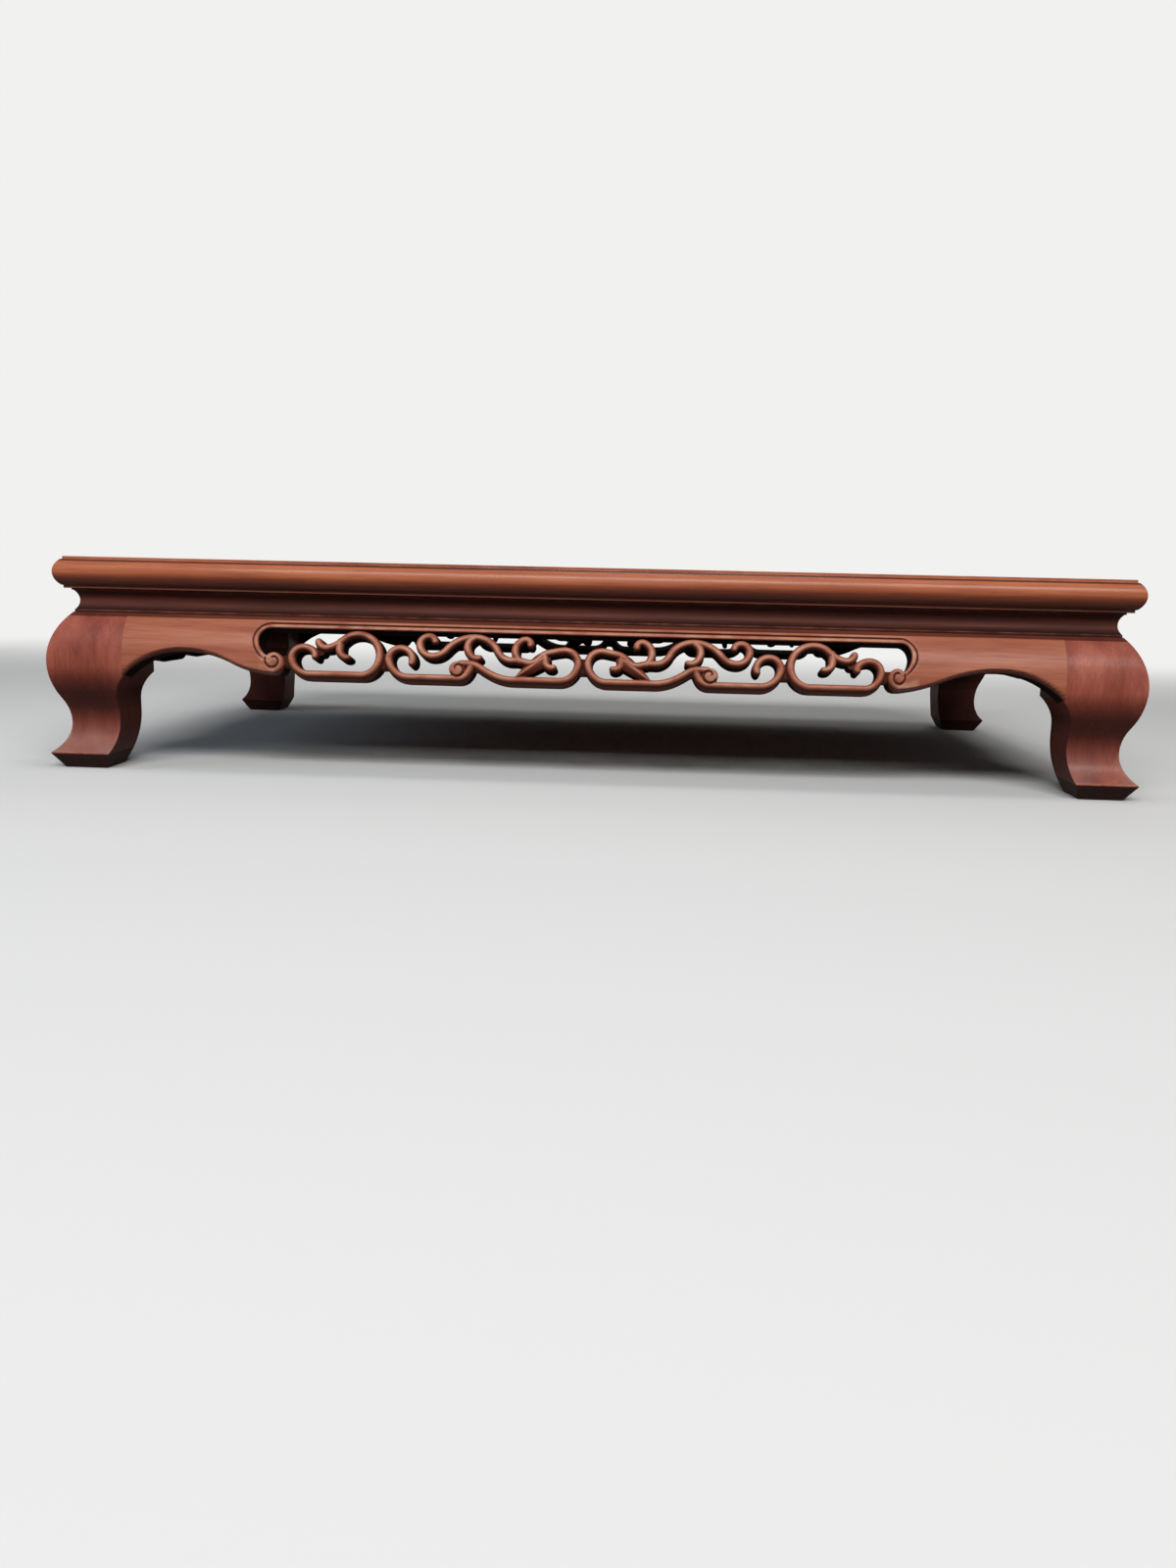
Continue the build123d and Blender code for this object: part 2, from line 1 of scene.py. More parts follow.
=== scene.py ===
import bpy
import math
import numpy as np
from mathutils import Matrix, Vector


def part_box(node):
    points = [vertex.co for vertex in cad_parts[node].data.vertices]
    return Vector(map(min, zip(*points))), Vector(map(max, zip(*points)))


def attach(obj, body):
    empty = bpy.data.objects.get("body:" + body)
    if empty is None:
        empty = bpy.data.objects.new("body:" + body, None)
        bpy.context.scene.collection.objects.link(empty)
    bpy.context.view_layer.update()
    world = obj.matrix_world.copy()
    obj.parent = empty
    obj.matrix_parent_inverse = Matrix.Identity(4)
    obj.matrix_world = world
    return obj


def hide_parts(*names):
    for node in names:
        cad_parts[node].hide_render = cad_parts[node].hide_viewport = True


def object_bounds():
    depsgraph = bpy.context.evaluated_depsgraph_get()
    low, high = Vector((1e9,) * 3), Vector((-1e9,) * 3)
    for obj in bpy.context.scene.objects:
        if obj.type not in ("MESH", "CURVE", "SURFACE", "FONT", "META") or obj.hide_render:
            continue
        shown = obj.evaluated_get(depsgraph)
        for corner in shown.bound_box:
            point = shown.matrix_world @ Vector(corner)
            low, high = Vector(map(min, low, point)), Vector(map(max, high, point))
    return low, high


# Low display stand in rosewood. Lengths are in millimetres until a mesh is made.
# Insets are measured inwards from the vertical plane that the bulge touches.
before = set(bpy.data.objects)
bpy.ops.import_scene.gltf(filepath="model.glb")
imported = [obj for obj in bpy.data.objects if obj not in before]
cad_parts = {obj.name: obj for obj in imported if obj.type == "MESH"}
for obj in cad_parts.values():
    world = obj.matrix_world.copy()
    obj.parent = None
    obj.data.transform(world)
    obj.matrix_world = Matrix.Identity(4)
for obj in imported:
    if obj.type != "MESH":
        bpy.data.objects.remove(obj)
cad_low, cad_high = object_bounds()
MM = 0.001
FAR = 1e9
TOUCH = 0.1
TINY = 0.01
STRAIGHT_TURN = 1e-6

# Overall sizes and levels, from the frame
LENGTH = (cad_high.x - cad_low.x) / MM
DEPTH = (cad_high.y - cad_low.y) / MM
HEIGHT = cad_high.z / MM
WAIST_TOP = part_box("top_frame_front")[0].z / MM
APRON_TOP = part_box("waist_front")[0].z / MM
PANEL_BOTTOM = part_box("top_panel")[0].z / MM

# Outer profile of legs and aprons. Heights follow the overall sizes.
BULGE_HEIGHT = APRON_TOP - 44
ANKLE_HEIGHT = 0.427 * BULGE_HEIGHT
LIP_HEIGHT = 14.5
LIP_UNDERSIDE_HEIGHT = 13.2
APRON_TOP_INSET = 18.4
ANKLE_INSET = 14.2
LIP_INSET = 0.3
SOLE_INSET = 9.2
SHIN_TURN_SHARE = 0.61

# Inner faces of the leg
LEG_SQUARE = 69
LEG_SQUARE_BOTTOM = BULGE_HEIGHT - 12
CALF_INSET = 59.6
CALF_TOP = 0.625 * BULGE_HEIGHT
CALF_BOTTOM = 0.5 * BULGE_HEIGHT
HEEL_INSET = 47
POST_INSET = 34
ARRIS_EASE = 1.2
SEAM_EASE = 0.15
LIP_POINTS = 16
SHIN_POINTS = 14
SHOULDER_POINTS = 22
HEEL_POINTS = 24
BRACKET_POINTS = 16

# Back of the aprons: heights, and the inset at each of them
APRON_BACK_HEIGHTS = (BULGE_HEIGHT - 20, BULGE_HEIGHT + 10, APRON_TOP - 8, APRON_TOP)
APRON_BACK_INSETS = (20, 22, POST_INSET, POST_INSET)

# The arch beside each leg
SEAM_HEIGHT = BULGE_HEIGHT - 8.5
ARCH_PEAK_HEIGHT = SEAM_HEIGHT + 24
ARCH_PEAK_FROM_SEAM = 55
CURL_UNDERSIDE_HEIGHT = SEAM_HEIGHT + 4.3

# The pierced scrolls
PIERCING_TILT = math.radians(15)
PIERCING_SLOPE = math.tan(PIERCING_TILT)
PIERCING_ROUNDS = 30
SCROLL_TOP_MARGIN = 6.5
SCROLL_BOTTOM = SEAM_HEIGHT
SCROLL_HEIGHT = APRON_TOP - SCROLL_TOP_MARGIN - SCROLL_BOTTOM
STROKE_WIDTH = 7.0
STROKE_ROUNDING = 4.0
TIP_LENGTH = 5
TIP_SHARE = 0.85
LEAF_WIDTH = 13
LEAF_POINT = 4
LEAF_SWELL = 1.15
LEAF_TAPER = 0.6
LEAF_LEAST = 0.05
LEAF_RIDGE = 1.3
CURL_RADIUS = 9.2
VOLUTE_RADIUS = 7.0
ROLL_SQUARENESS = 4
WEB_RECESS = 4.5
WEB_WIDTH = 9
LONG_END_MOTIF_SHARE = 0.2676
CENTRE_MOTIF_SHARE = 0.4258
SHORT_END_MOTIF_SHARE = 0.534

# Shares of the motif's length outwards, and of the scroll height upwards
OVAL_RAIL_SHARES = ((0.20, 0.09), (0.618, 0.09))
OVAL_INNER_SHARES = ((0.04, 0.45), (0.215, 0.915), (0.34, 0.79), (0.46, 0.62), (0.541, 0.75))
OVAL_OUTER_SHARES = ((0.75, 0.36), (0.65, 0.62), (0.587, 0.565), (0.562, 0.43))
OVAL_HOOK_SHARES = ((0.36, 0.76), (0.365, 0.55), (0.30, 0.43))
OVAL_HOOK_HEADING = -75
LOOP_RAIL_SHARES = ((0.63, 0.08), (0.88, 0.08))
LOOP_INNER_SHARES = ((0.575, 0.20), (0.557, 0.37))
LOOP_OUTER_SHARES = ((0.976, 0.37), (0.905, 0.64), (0.858, 0.45), (0.861, 0.35))
WAVE_RAIL_SHARES = ((0.12, 0.08), (0.35, 0.08))
WAVE_INNER_SHARES = (
    (0.054, 0.18),
    (0.026, 0.37),
    (0.103, 0.68),
    (0.172, 0.625),
    (0.217, 0.51),
    (0.286, 0.425),
    (0.354, 0.455),
    (0.429, 0.625),
    (0.537, 0.91),
    (0.629, 0.83),
    (0.686, 0.64),
    (0.76, 0.50),
    (0.823, 0.71),
    (0.794, 0.90),
    (0.747, 0.80),
)
WAVE_OUTER_SHARES = ((0.457, 0.17), (0.514, 0.295), (0.571, 0.37), (0.62, 0.37))
CREST_HOOK_SHARES = ((0.555, 0.88), (0.582, 0.69), (0.564, 0.53), (0.52, 0.49))
CREST_HOOK_HEADING = -30
MIDDLE_HOOK_SHARES = ((0.315, 0.44), (0.341, 0.64), (0.303, 0.88), (0.266, 0.77))
MIDDLE_HOOK_HEADING = 40
INNER_HOOK_SHARES = ((0.195, 0.59), (0.188, 0.43), (0.148, 0.34))
INNER_HOOK_HEADING = -100
LEAF_SHARES = ((0.20, 0.50), (0.325, 0.15))
HUB_SHARES = (0.525, 0.56)
HUB_RADIUS = 4.5
VOLUTE_SHARES = (0.63, 0.255)
CURL_SHARES = (0.891, 0.294)
OPENING_SHOULDER_SHARES = (0.928, 1.0)
OPENING_END_SHARES = (1.033, 0.72)
OPENING_CREVICE_SHARES = (0.95, 0.42)
WEB_BOTTOM_SHARE = 0.25
WEB_TOP_SHARE = 0.53
CURL_WEB_SHARE = 0.79
CURL_WEB_TOP_SHARE = 0.44

# Incised line round the opening, and the rounded edge beside it
LINE_OFFSET = 4.3
LINE_HALF_WIDTH = 1.2
LINE_DEPTH = 1.1
LINE_FADE_START = -5
LINE_FADE_LENGTH = 6
EDGE_ROUNDING = 1.1

# Spiral grooves: outer and inner radius, first and last angle, and half width
CURL_GROOVE = (6.8, 1.9, 24, -290, 1.8)
VOLUTE_GROOVE = (6.2, 1.6, 337, 10, 1.6)
CURL_EYE_SHIFT = (1.5, 1.8)
ROLL_FLATNESS = 0.27
WINDING = 2.5
GROOVE_END_SHARE = 0.6

# Hand-cut shift of the long aprons' pattern, by place along the apron
SHIFT_PLACES = (-290, -272, -200, 0, 170, 254, 269, 281, 292, 356)
SHIFTS = (0, 0.8, 0.8, 1.0, 1.0, 1.7, 3.6, 7.4, 7.0, 0)

# Lips of the cut walls, where the wood is shown before the painted shade begins
WALL_LIP = 2.0
UNDERSIDE_LIP = 6.0
UNDERSIDE_DROP = 1.6
UNDERSIDE_BARE = 0.2
LIP_SHARE_LIMIT = 0.5
COLUMN_WIDTH = 3.0

# Painted shade of the aprons, and a painted highlight with polish wear on the crests, 0 to 1 except for
# the crests
EDGE_SHADE = 0.7
EDGE_SHADE_CURVE = 1.3
FLANK_STEP = 0.4
FLANK_SHADE = 0.85
FLANK_SHADE_CURVE = 0.7
WEB_SHADE = 0.88
CREST_DEPTH = 1.3
CREST_REACH = (-8.0, -5.0)
CREST_HIGHLIGHT = 2.2
CREST_FADE = 4.0
# A painted shadow along the top of the aprons and legs, under the waist
TOP_LINE_HEIGHT = 3.2
TOP_LINE_SOFTNESS = 0.3
TOP_LINE_SHADOW = 0.75

# Grid of the carving
FINE_STEP = 0.5
PLAIN_STEP = 3.0
PLAIN_FROM_PEAK = 55
SHORT_FINE_SHARE = 0.56
GRID_MARGIN = 1
EDGE_NUDGE = 0.02
CARVING_SHARP = 55

# Waist
WAIST_FOOT_INSET = 19.4
WAIST_COVE_INSET = 23
WAIST_HEAD_INSET = 19.1
WAIST_FILLET_INSET = 18
WAIST_FOOT_HEIGHT = 2
WAIST_FILLET_HEIGHT = 1.6

# Top frame
FRAME_WIDTH = 65
NOSE_INSET = 6.5
NOSE_EDGE_INSET = 12
FRAME_EDGE_INSET = 13.2
FRAME_EDGE_HEIGHT = 2.6
PANEL_GAP = 0.5
BAR_PIECES = 24
NOSE_MARGIN = 1
NOSE_POINTS = 28
COVE_POINTS = 20

# Eased corners
EASED_EDGE = 0.5
EASED_BEND = 25
EASED_STEPS = 3
EASED_SHARE = 0.4
EASED_WIDE = 3
EASED_WIDE_SHARE = 0.45
EASED_WIDE_LEAST = 1.2

# Painted shade, wear with painted highlight, and dust with painted sheen, by height. The levels of nose
# and waist are shares of the piece.
SEAM_SHADE_HEIGHT = 0.3
CREASE_SHADE = 0.85
CREASE_REACH = 1.3
NOSE_SHADE_LEVELS = (0.02, 0.04, 0.2, 0.38, 0.52)
NOSE_SHADE_AMOUNTS = (0.55, 0.85, 0.9, 0.6, 0)
LEG_SHADE_LEVELS = (28, 42, 55, 70, 82, 94)
LEG_SHADE_AMOUNTS = (0, 0.4, 0.85, 0.9, 0.6, 0)
LEG_SIDE_SHADE = 0.75
LIP_WEAR_AND_HIGHLIGHT_HEIGHT = 0.8
SOLE_SHADE_GAP = 0.2
DUST_AND_SHEEN_LEVELS = (14, 15, 24, 42, 60)
DUST_AND_SHEEN = (0, 0.75, 0.6, 0.2, 0)
WAIST_SHADE_LEVELS = (0, 0.01, 0.09, 0.11, 0.2, 0.38, 0.55, 0.8, 0.93, 0.98, 1)
WAIST_SHADE_AMOUNTS = (1, 0.8, 0.3, 0.9, 0.6, 0.0, 0.1, 0.55, 0.6, 0.1, 1)


def rotated(point, angle):
    """Pair of numbers turned about the origin."""
    c, s = np.cos(angle), np.sin(angle)
    return np.array((c * point[0] - s * point[1], s * point[0] + c * point[1]))


class Arc:
    """Circular arc, or a straight line, that leaves its start along a direction."""

    def __init__(self, start, end, direction):
        self.start = np.array(start, float)
        self.end = np.array(end, float)
        self.along = np.array(direction, float) / math.hypot(*direction)
        left = np.array((-self.along[1], self.along[0]))
        chord = self.end - self.start
        span = math.hypot(*chord)
        self.turn = 2 * math.atan2(chord @ left, chord @ self.along)
        self.straight = abs(self.turn) < STRAIGHT_TURN
        if self.straight:
            self.length = span
            self.end_direction = self.along
            return
        self.radius = span / 2 / math.sin(self.turn / 2)
        self.centre = self.start + self.radius * left
        self.length = abs(self.radius * self.turn)
        self.end_direction = rotated(self.along, self.turn)

    def points(self, count):
        """Evenly spaced points, from the start up to but without the end."""
        shares = np.arange(count)[:, None] / count
        if self.straight:
            return self.start + shares * (self.end - self.start)
        return self.centre + np.hstack(rotated(self.start - self.centre, shares * self.turn))

    def nearest(self, x, y):
        """Distance from each point to the arc, and how far along it the nearest place is."""
        if self.straight:
            along = (x - self.start[0]) * self.along[0] + (y - self.start[1]) * self.along[1]
            along = np.clip(along, 0, self.length)
            foot_x = self.start[0] + along * self.along[0]
            foot_y = self.start[1] + along * self.along[1]
            return np.hypot(x - foot_x, y - foot_y), along
        arm = self.start - self.centre
        swing = np.arctan2(y - self.centre[1], x - self.centre[0]) - math.atan2(arm[1], arm[0])
        swing = np.mod(swing * math.copysign(1, self.turn), 2 * math.pi)
        beside = swing <= abs(self.turn)
        to_arc = np.abs(np.hypot(x - self.centre[0], y - self.centre[1]) - abs(self.radius))
        to_start = np.hypot(x - self.start[0], y - self.start[1])
        to_end = np.hypot(x - self.end[0], y - self.end[1])
        gap = np.where(beside, to_arc, np.minimum(to_start, to_end))
        past = np.where(to_start < to_end, 0, self.length)
        return gap, np.where(beside, swing * abs(self.radius), past)


def chain(first, direction, points):
    """Arcs through the points, each tangent to the one before it."""
    arcs = []
    for point in points:
        arcs.append(Arc(first, point, direction))
        first = point
        direction = arcs[-1].end_direction
    return arcs


def scroll_point(shares, start, length):
    """Point of the pattern from its shares of a motif that begins at start."""
    return (start + shares[0] * length, SCROLL_BOTTOM + shares[1] * SCROLL_HEIGHT)


def outer_arcs():
    """Bulging shoulder and shin, both leaving the bulge."""
    bulge = (0, BULGE_HEIGHT)
    drop = (BULGE_HEIGHT - ANKLE_HEIGHT) * SHIN_TURN_SHARE
    turn = (ANKLE_INSET * SHIN_TURN_SHARE, BULGE_HEIGHT - drop)
    shoulder = Arc(bulge, (APRON_TOP_INSET, APRON_TOP), (0, 1))
    shin = Arc(bulge, turn, (0, -1))
    return shoulder, shin


def face_inset(z):
    """Inset of the bulging face at each height, above the turn of the shin."""
    shoulder, shin = outer_arcs()
    radius = np.where(z > BULGE_HEIGHT, abs(shoulder.radius), abs(shin.radius))
    rise = np.clip(np.abs(z - BULGE_HEIGHT), 0, radius)
    return radius - np.sqrt(radius * radius - rise * rise)


def back_inset(z):
    """Inset of an apron's back at each height."""
    return np.interp(z, APRON_BACK_HEIGHTS, APRON_BACK_INSETS)


def through(height, inset_at):
    """Height and inset where the tilted cut from the pattern plane meets a surface."""
    z = np.array(height, float)
    for _ in range(PIERCING_ROUNDS):
        z = height - PIERCING_SLOPE * inset_at(z)
    return z, inset_at(z)


def half_width(left, width):
    """Half width of a stroke, which narrows over its last stretch."""
    share = np.clip(left / TIP_LENGTH, 0, 1)
    return width / 2 * (TIP_SHARE + (1 - TIP_SHARE) * np.sqrt(share * (2 - share)))


def stroke(arcs, width):
    """Field of a carved stroke whose last arc ends in a narrow tip."""
    total = sum(arc.length for arc in arcs)

    def field(x, y):
        edge = np.full(x.shape, FAR)
        share = np.ones(x.shape)
        travelled = 0
        for arc in arcs:
            gap, along = arc.nearest(x, y)
            half = half_width(total - travelled - along, width)
            closer = gap - half < edge
            edge = np.where(closer, gap - half, edge)
            share = np.where(closer, np.clip(gap / half, 0, 1), share)
            travelled += arc.length
        return edge, STROKE_ROUNDING * (1 - np.sqrt(1 - share * share)), np.zeros(x.shape)

    return field


def railed_scroll(rail_shares, inner_shares, outer_shares, start, length):
    """Strokes from the middle of a straight rail out to both of its curling ends."""
    inner_end, outer_end = [scroll_point(share, start, length) for share in rail_shares]
    middle = ((inner_end[0] + outer_end[0]) / 2, inner_end[1])
    fields = []
    for end, heading, shares in ((inner_end, (-1, 0), inner_shares), (outer_end, (1, 0), outer_shares)):
        points = [end] + [scroll_point(share, start, length) for share in shares]
        fields.append(stroke(chain(middle, heading, points), STROKE_WIDTH))
    return fields


def hook(shares, heading, start, length):
    """Stroke that leaves its first point at a heading in degrees."""
    points = [scroll_point(share, start, length) for share in shares]
    direction = (math.cos(math.radians(heading)), math.sin(math.radians(heading)))
    return stroke(chain(points[0], direction, points[1:]), STROKE_WIDTH)


def leaf(start, length):
    """Pointed leaf with a ridge along its middle."""
    root, tip = [np.array(scroll_point(share, start, length)) for share in LEAF_SHARES]
    tip = tip + (tip - root) / math.hypot(*(tip - root)) * LEAF_POINT
    arc = Arc(root, tip, tip - root)

    def field(x, y):
        gap, along = arc.nearest(x, y)
        share = along / arc.length
        half = LEAF_WIDTH / 2 * np.clip(((1 - share) * LEAF_SWELL) ** LEAF_TAPER, LEAF_LEAST, 1)
        out = np.clip(gap / half, 0, 1)
        return gap - half, STROKE_ROUNDING * out ** LEAF_RIDGE, np.zeros(x.shape)

    return field


def roll(centre, radius, groove):
    """Round end of a scroll with a spiral groove cut in it."""

    def field(x, y):
        away = np.hypot(x - centre[0], y - centre[1])
        share = np.clip(away / radius, 0, 1)
        dome = STROKE_ROUNDING * (1 - np.sqrt(1 - share ** ROLL_SQUARENESS))
        inward = np.clip((centre[0] - x) / np.maximum(away, TINY), 0, 1)
        dome *= ROLL_FLATNESS + (1 - ROLL_FLATNESS) * inward
        return away - radius, dome, groove(x, y)

    return field


def spiral_groove(centre, outer, inner, first, last, width):
    """Groove that winds inwards round a centre between two angles, 0 to 1 deep."""

    def depth(x, y):
        angle = np.degrees(np.arctan2(y - centre[1], x - centre[0]))
        away = np.hypot(x - centre[0], y - centre[1])
        best = np.zeros(x.shape)
        for lap in (-360, 0, 360):
            share = (angle + lap - first) / (last - first)
            line = outer + (inner - outer) * np.clip(share, 0, 1) ** WINDING
            middle = np.sqrt(np.clip(4 * share * (1 - share), 0, 1))
            swell = width * (GROOVE_END_SHARE + (1 - GROOVE_END_SHARE) * middle)
            inside = (share > 0) & (share < 1) & (np.abs(away - line) < swell)
            across = np.clip(np.abs(away - line) / swell, 0, 1)
            best = np.where(inside, np.cos(across * math.pi / 2) ** 2, best)
        return best

    return depth


def web(centre, top_share):
    """Recessed bridge between two strokes that stand side by side."""
    middle = SCROLL_BOTTOM + (WEB_BOTTOM_SHARE + top_share) / 2 * SCROLL_HEIGHT
    half_height = (top_share - WEB_BOTTOM_SHARE) / 2 * SCROLL_HEIGHT

    def field(x, y):
        beside = np.abs(x - centre) - WEB_WIDTH / 2
        above = np.abs(y - middle) - half_height
        return np.maximum(beside, above), np.full(x.shape, float(WEB_RECESS)), np.zeros(x.shape)

    return field


def hub(centre):
    """Recessed round bridge between two strokes."""

    def field(x, y):
        away = np.hypot(x - centre[0], y - centre[1])
        return away - HUB_RADIUS, np.full(x.shape, float(WEB_RECESS)), np.zeros(x.shape)

    return field


def outline_of(arcs, count=24):
    """Points along a chain of arcs."""
    return np.vstack([arc.points(1 if arc.straight else count) for arc in arcs])


def inside_outline(x, y, outline):
    """Whether each point lies inside a closed outline."""
    inside = np.zeros(x.shape, bool)
    for (ax, ay), (bx, by) in zip(outline, np.roll(outline, -1, axis=0)):
        if ay == by:
            continue
        crosses = (ay > y) != (by > y)
        inside ^= crosses & (x < ax + (y - ay) * (bx - ax) / (by - ay))
    return inside


def half_panel(half_run, motif_start, length, top):
    """Plain part of the apron on one side, with its rounded edge and incised line."""
    crevice = scroll_point(OPENING_CREVICE_SHARES, motif_start, length)
    end = scroll_point(OPENING_END_SHARES, motif_start, length)
    shoulder = scroll_point(OPENING_SHOULDER_SHARES, motif_start, length)
    curl = scroll_point(CURL_SHARES, motif_start, length)
    underside = (curl[0], CURL_UNDERSIDE_HEIGHT)
    peak = (half_run - ARCH_PEAK_FROM_SEAM, ARCH_PEAK_HEIGHT)
    turn = ((underside[0] + peak[0]) / 2, (underside[1] + peak[1]) / 2)
    seam = (half_run, SEAM_HEIGHT)
    opening = [Arc((0, shoulder[1]), shoulder, (1, 0))] + chain(shoulder, (1, 0), [end, crevice])
    arch = chain(underside, (1, 0), [turn])
    arch += chain(turn, arch[-1].end_direction, [peak])
    arch += chain(peak, (1, 0), [seam])
    past = half_run + GRID_MARGIN
    corners = [seam, (past, SEAM_HEIGHT), (past, top), (0, top), (0, shoulder[1])]
    outline = np.vstack([outline_of(opening), [crevice, curl], outline_of(arch), corners])

    def field(x, y):
        to_opening = np.min([arc.nearest(x, y)[0] for arc in opening], axis=0)
        to_arch = np.min([arc.nearest(x, y)[0] for arc in arch], axis=0)
        inside = inside_outline(x, y, outline)
        gap = np.minimum(to_opening, to_arch)
        lost = EDGE_ROUNDING - np.clip(gap, 0, EDGE_ROUNDING)
        rounding = EDGE_ROUNDING - np.sqrt(EDGE_ROUNDING ** 2 - lost ** 2)
        off_line = np.abs(to_opening - LINE_OFFSET) / LINE_HALF_WIDTH
        fade = np.clip((y - crevice[1] - LINE_FADE_START) / LINE_FADE_LENGTH, 0, 1)
        line = fade * np.cos(np.clip(off_line, 0, 1) * math.pi / 2) ** 2
        return np.where(inside, -gap, gap), rounding, line

    return field


def motif_lengths(half_run, with_centre):
    """Lengths of the centre motif and of the end motif on one side of the middle."""
    if with_centre:
        return CENTRE_MOTIF_SHARE * half_run, LONG_END_MOTIF_SHARE * half_run
    return 0, SHORT_END_MOTIF_SHARE * half_run


def carving(half_run, with_centre, top):
    """Every field of one half of an apron's pattern."""
    centre_length, end_length = motif_lengths(half_run, with_centre)
    curl = scroll_point(CURL_SHARES, centre_length, end_length)
    curl_eye = np.add(curl, CURL_EYE_SHIFT)
    curl_groove = spiral_groove(curl_eye, *CURL_GROOVE)
    fields = [
        half_panel(half_run, centre_length, end_length, top),
        roll(curl, CURL_RADIUS, curl_groove),
        web(centre_length + CURL_WEB_SHARE * end_length, CURL_WEB_TOP_SHARE),
        web(0, WEB_TOP_SHARE),
        *railed_scroll(OVAL_RAIL_SHARES, OVAL_INNER_SHARES, OVAL_OUTER_SHARES, centre_length, end_length),
        hook(OVAL_HOOK_SHARES, OVAL_HOOK_HEADING, centre_length, end_length),
        hub(scroll_point(HUB_SHARES, centre_length, end_length)),
    ]
    if not with_centre:
        return fields
    volute = scroll_point(VOLUTE_SHARES, 0, centre_length)
    volute_groove = spiral_groove(volute, *VOLUTE_GROOVE)
    return fields + [
        web(centre_length, WEB_TOP_SHARE),
        *railed_scroll(LOOP_RAIL_SHARES, LOOP_INNER_SHARES, LOOP_OUTER_SHARES, 0, centre_length),
        *railed_scroll(WAVE_RAIL_SHARES, WAVE_INNER_SHARES, WAVE_OUTER_SHARES, 0, centre_length),
        hook(CREST_HOOK_SHARES, CREST_HOOK_HEADING, 0, centre_length),
        hook(MIDDLE_HOOK_SHARES, MIDDLE_HOOK_HEADING, 0, centre_length),
        hook(INNER_HOOK_SHARES, INNER_HOOK_HEADING, 0, centre_length),
        leaf(0, centre_length),
        roll(volute, VOLUTE_RADIUS, volute_groove),
    ]


def carved(x, y, fields, shifted):
    """Signed distance to the pierced outline, and depth and groove of the carving, at each point."""
    if shifted:
        x = x + np.interp(x, SHIFT_PLACES, SHIFTS)
    x = np.abs(x)
    edge = np.full(x.shape, FAR)
    depth = np.full(x.shape, FAR)
    outer_depth = np.zeros(x.shape)
    groove = np.zeros(x.shape)
    for field in fields:
        own_edge, own_depth, own_groove = field(x, y)
        outer_depth = np.where(own_edge < edge, own_depth, outer_depth)
        edge = np.minimum(own_edge, edge)
        inside = own_edge <= 0
        depth = np.where(inside, np.minimum(depth, own_depth), depth)
        groove = np.where(inside, np.maximum(groove, own_groove), groove)
    depth = np.where(depth < FAR, depth, outer_depth)
    return edge, depth + LINE_DEPTH * groove, groove


def add_piece(name, node_name, slot, material, verts, faces, sharp=35, shown=None, **attributes):
    """New mesh piece, in metres, that stands for a node of the frame."""
    mesh = bpy.data.meshes.new(name)
    mesh.from_pydata((np.asarray(verts, float) * MM).tolist(), [], faces)
    # The mesh's attributes: wear with painted highlight, painted shade, and dust with painted sheen
    for label in ("wear", "cavity", "dust"):
        values = attributes.get(label)
        attribute = mesh.attributes.new(label, "FLOAT", "POINT")
        if values is not None:
            attribute.data.foreach_set("value", np.asarray(values, np.float32))
    mesh.polygons.foreach_set("use_smooth", [True] * len(mesh.polygons))
    mesh.set_sharp_from_angle(angle=math.radians(sharp))
    mesh.materials.append(material)
    # Faces past the shown ones, deep in the cut walls and on the back, take a dark wood that is painted
    # shade
    if shown is not None:
        mesh.materials.append(painted_shade_wood)
        mesh.polygons.foreach_set("material_index", [0] * shown + [1] * (len(faces) - shown))
    piece = bpy.data.objects.new(name, mesh)
    bpy.context.scene.collection.objects.link(piece)
    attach(piece, "root")
    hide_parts(node_name)


def contour(columns, rows, fields, shifted):
    """Places and faces of the carved pattern on a grid, cut off at its outline."""
    x, y = np.meshgrid(columns, rows, indexing="ij")
    edge = carved(x, y, fields, shifted)[0]
    edge = np.where(np.abs(edge) < EDGE_NUDGE, -EDGE_NUDGE, edge)
    solid = edge < 0
    number = np.cumsum(solid).reshape(solid.shape) - 1
    xs, ys = [x[solid]], [y[solid]]
    total = int(solid.sum())
    crossings = []
    for near, far in ((np.s_[:-1, :], np.s_[1:, :]), (np.s_[:, :-1], np.s_[:, 1:])):
        cut = solid[near] != solid[far]
        share = edge[near][cut] / (edge[near][cut] - edge[far][cut])
        xs.append(x[near][cut] + share * (x[far][cut] - x[near][cut]))
        ys.append(y[near][cut] + share * (y[far][cut] - y[near][cut]))
        index = np.full(cut.shape, -1)
        index[cut] = total + np.arange(int(cut.sum()))
        total += int(cut.sum())
        crossings.append(index)
    around = (solid[:-1, :-1], solid[1:, :-1], solid[1:, 1:], solid[:-1, 1:])
    numbers = (number[:-1, :-1], number[1:, :-1], number[1:, 1:], number[:-1, 1:])
    full = np.logical_and.reduce(around)
    faces = np.stack([corner[full] for corner in numbers], axis=1).tolist()
    for i, j in np.argwhere(np.logical_or.reduce(around) & ~full):
        corners = ((i, j), (i + 1, j), (i + 1, j + 1), (i, j + 1))
        sides = (crossings[0][i, j], crossings[1][i + 1, j], crossings[0][i, j + 1], crossings[1][i, j])
        loop = []
        for corner, side in zip(corners, sides):
            if solid[corner]:
                loop.append(int(number[corner]))
            if side >= 0:
                loop.append(int(side))
        faces.append(loop)
    return np.concatenate(xs), np.concatenate(ys), faces


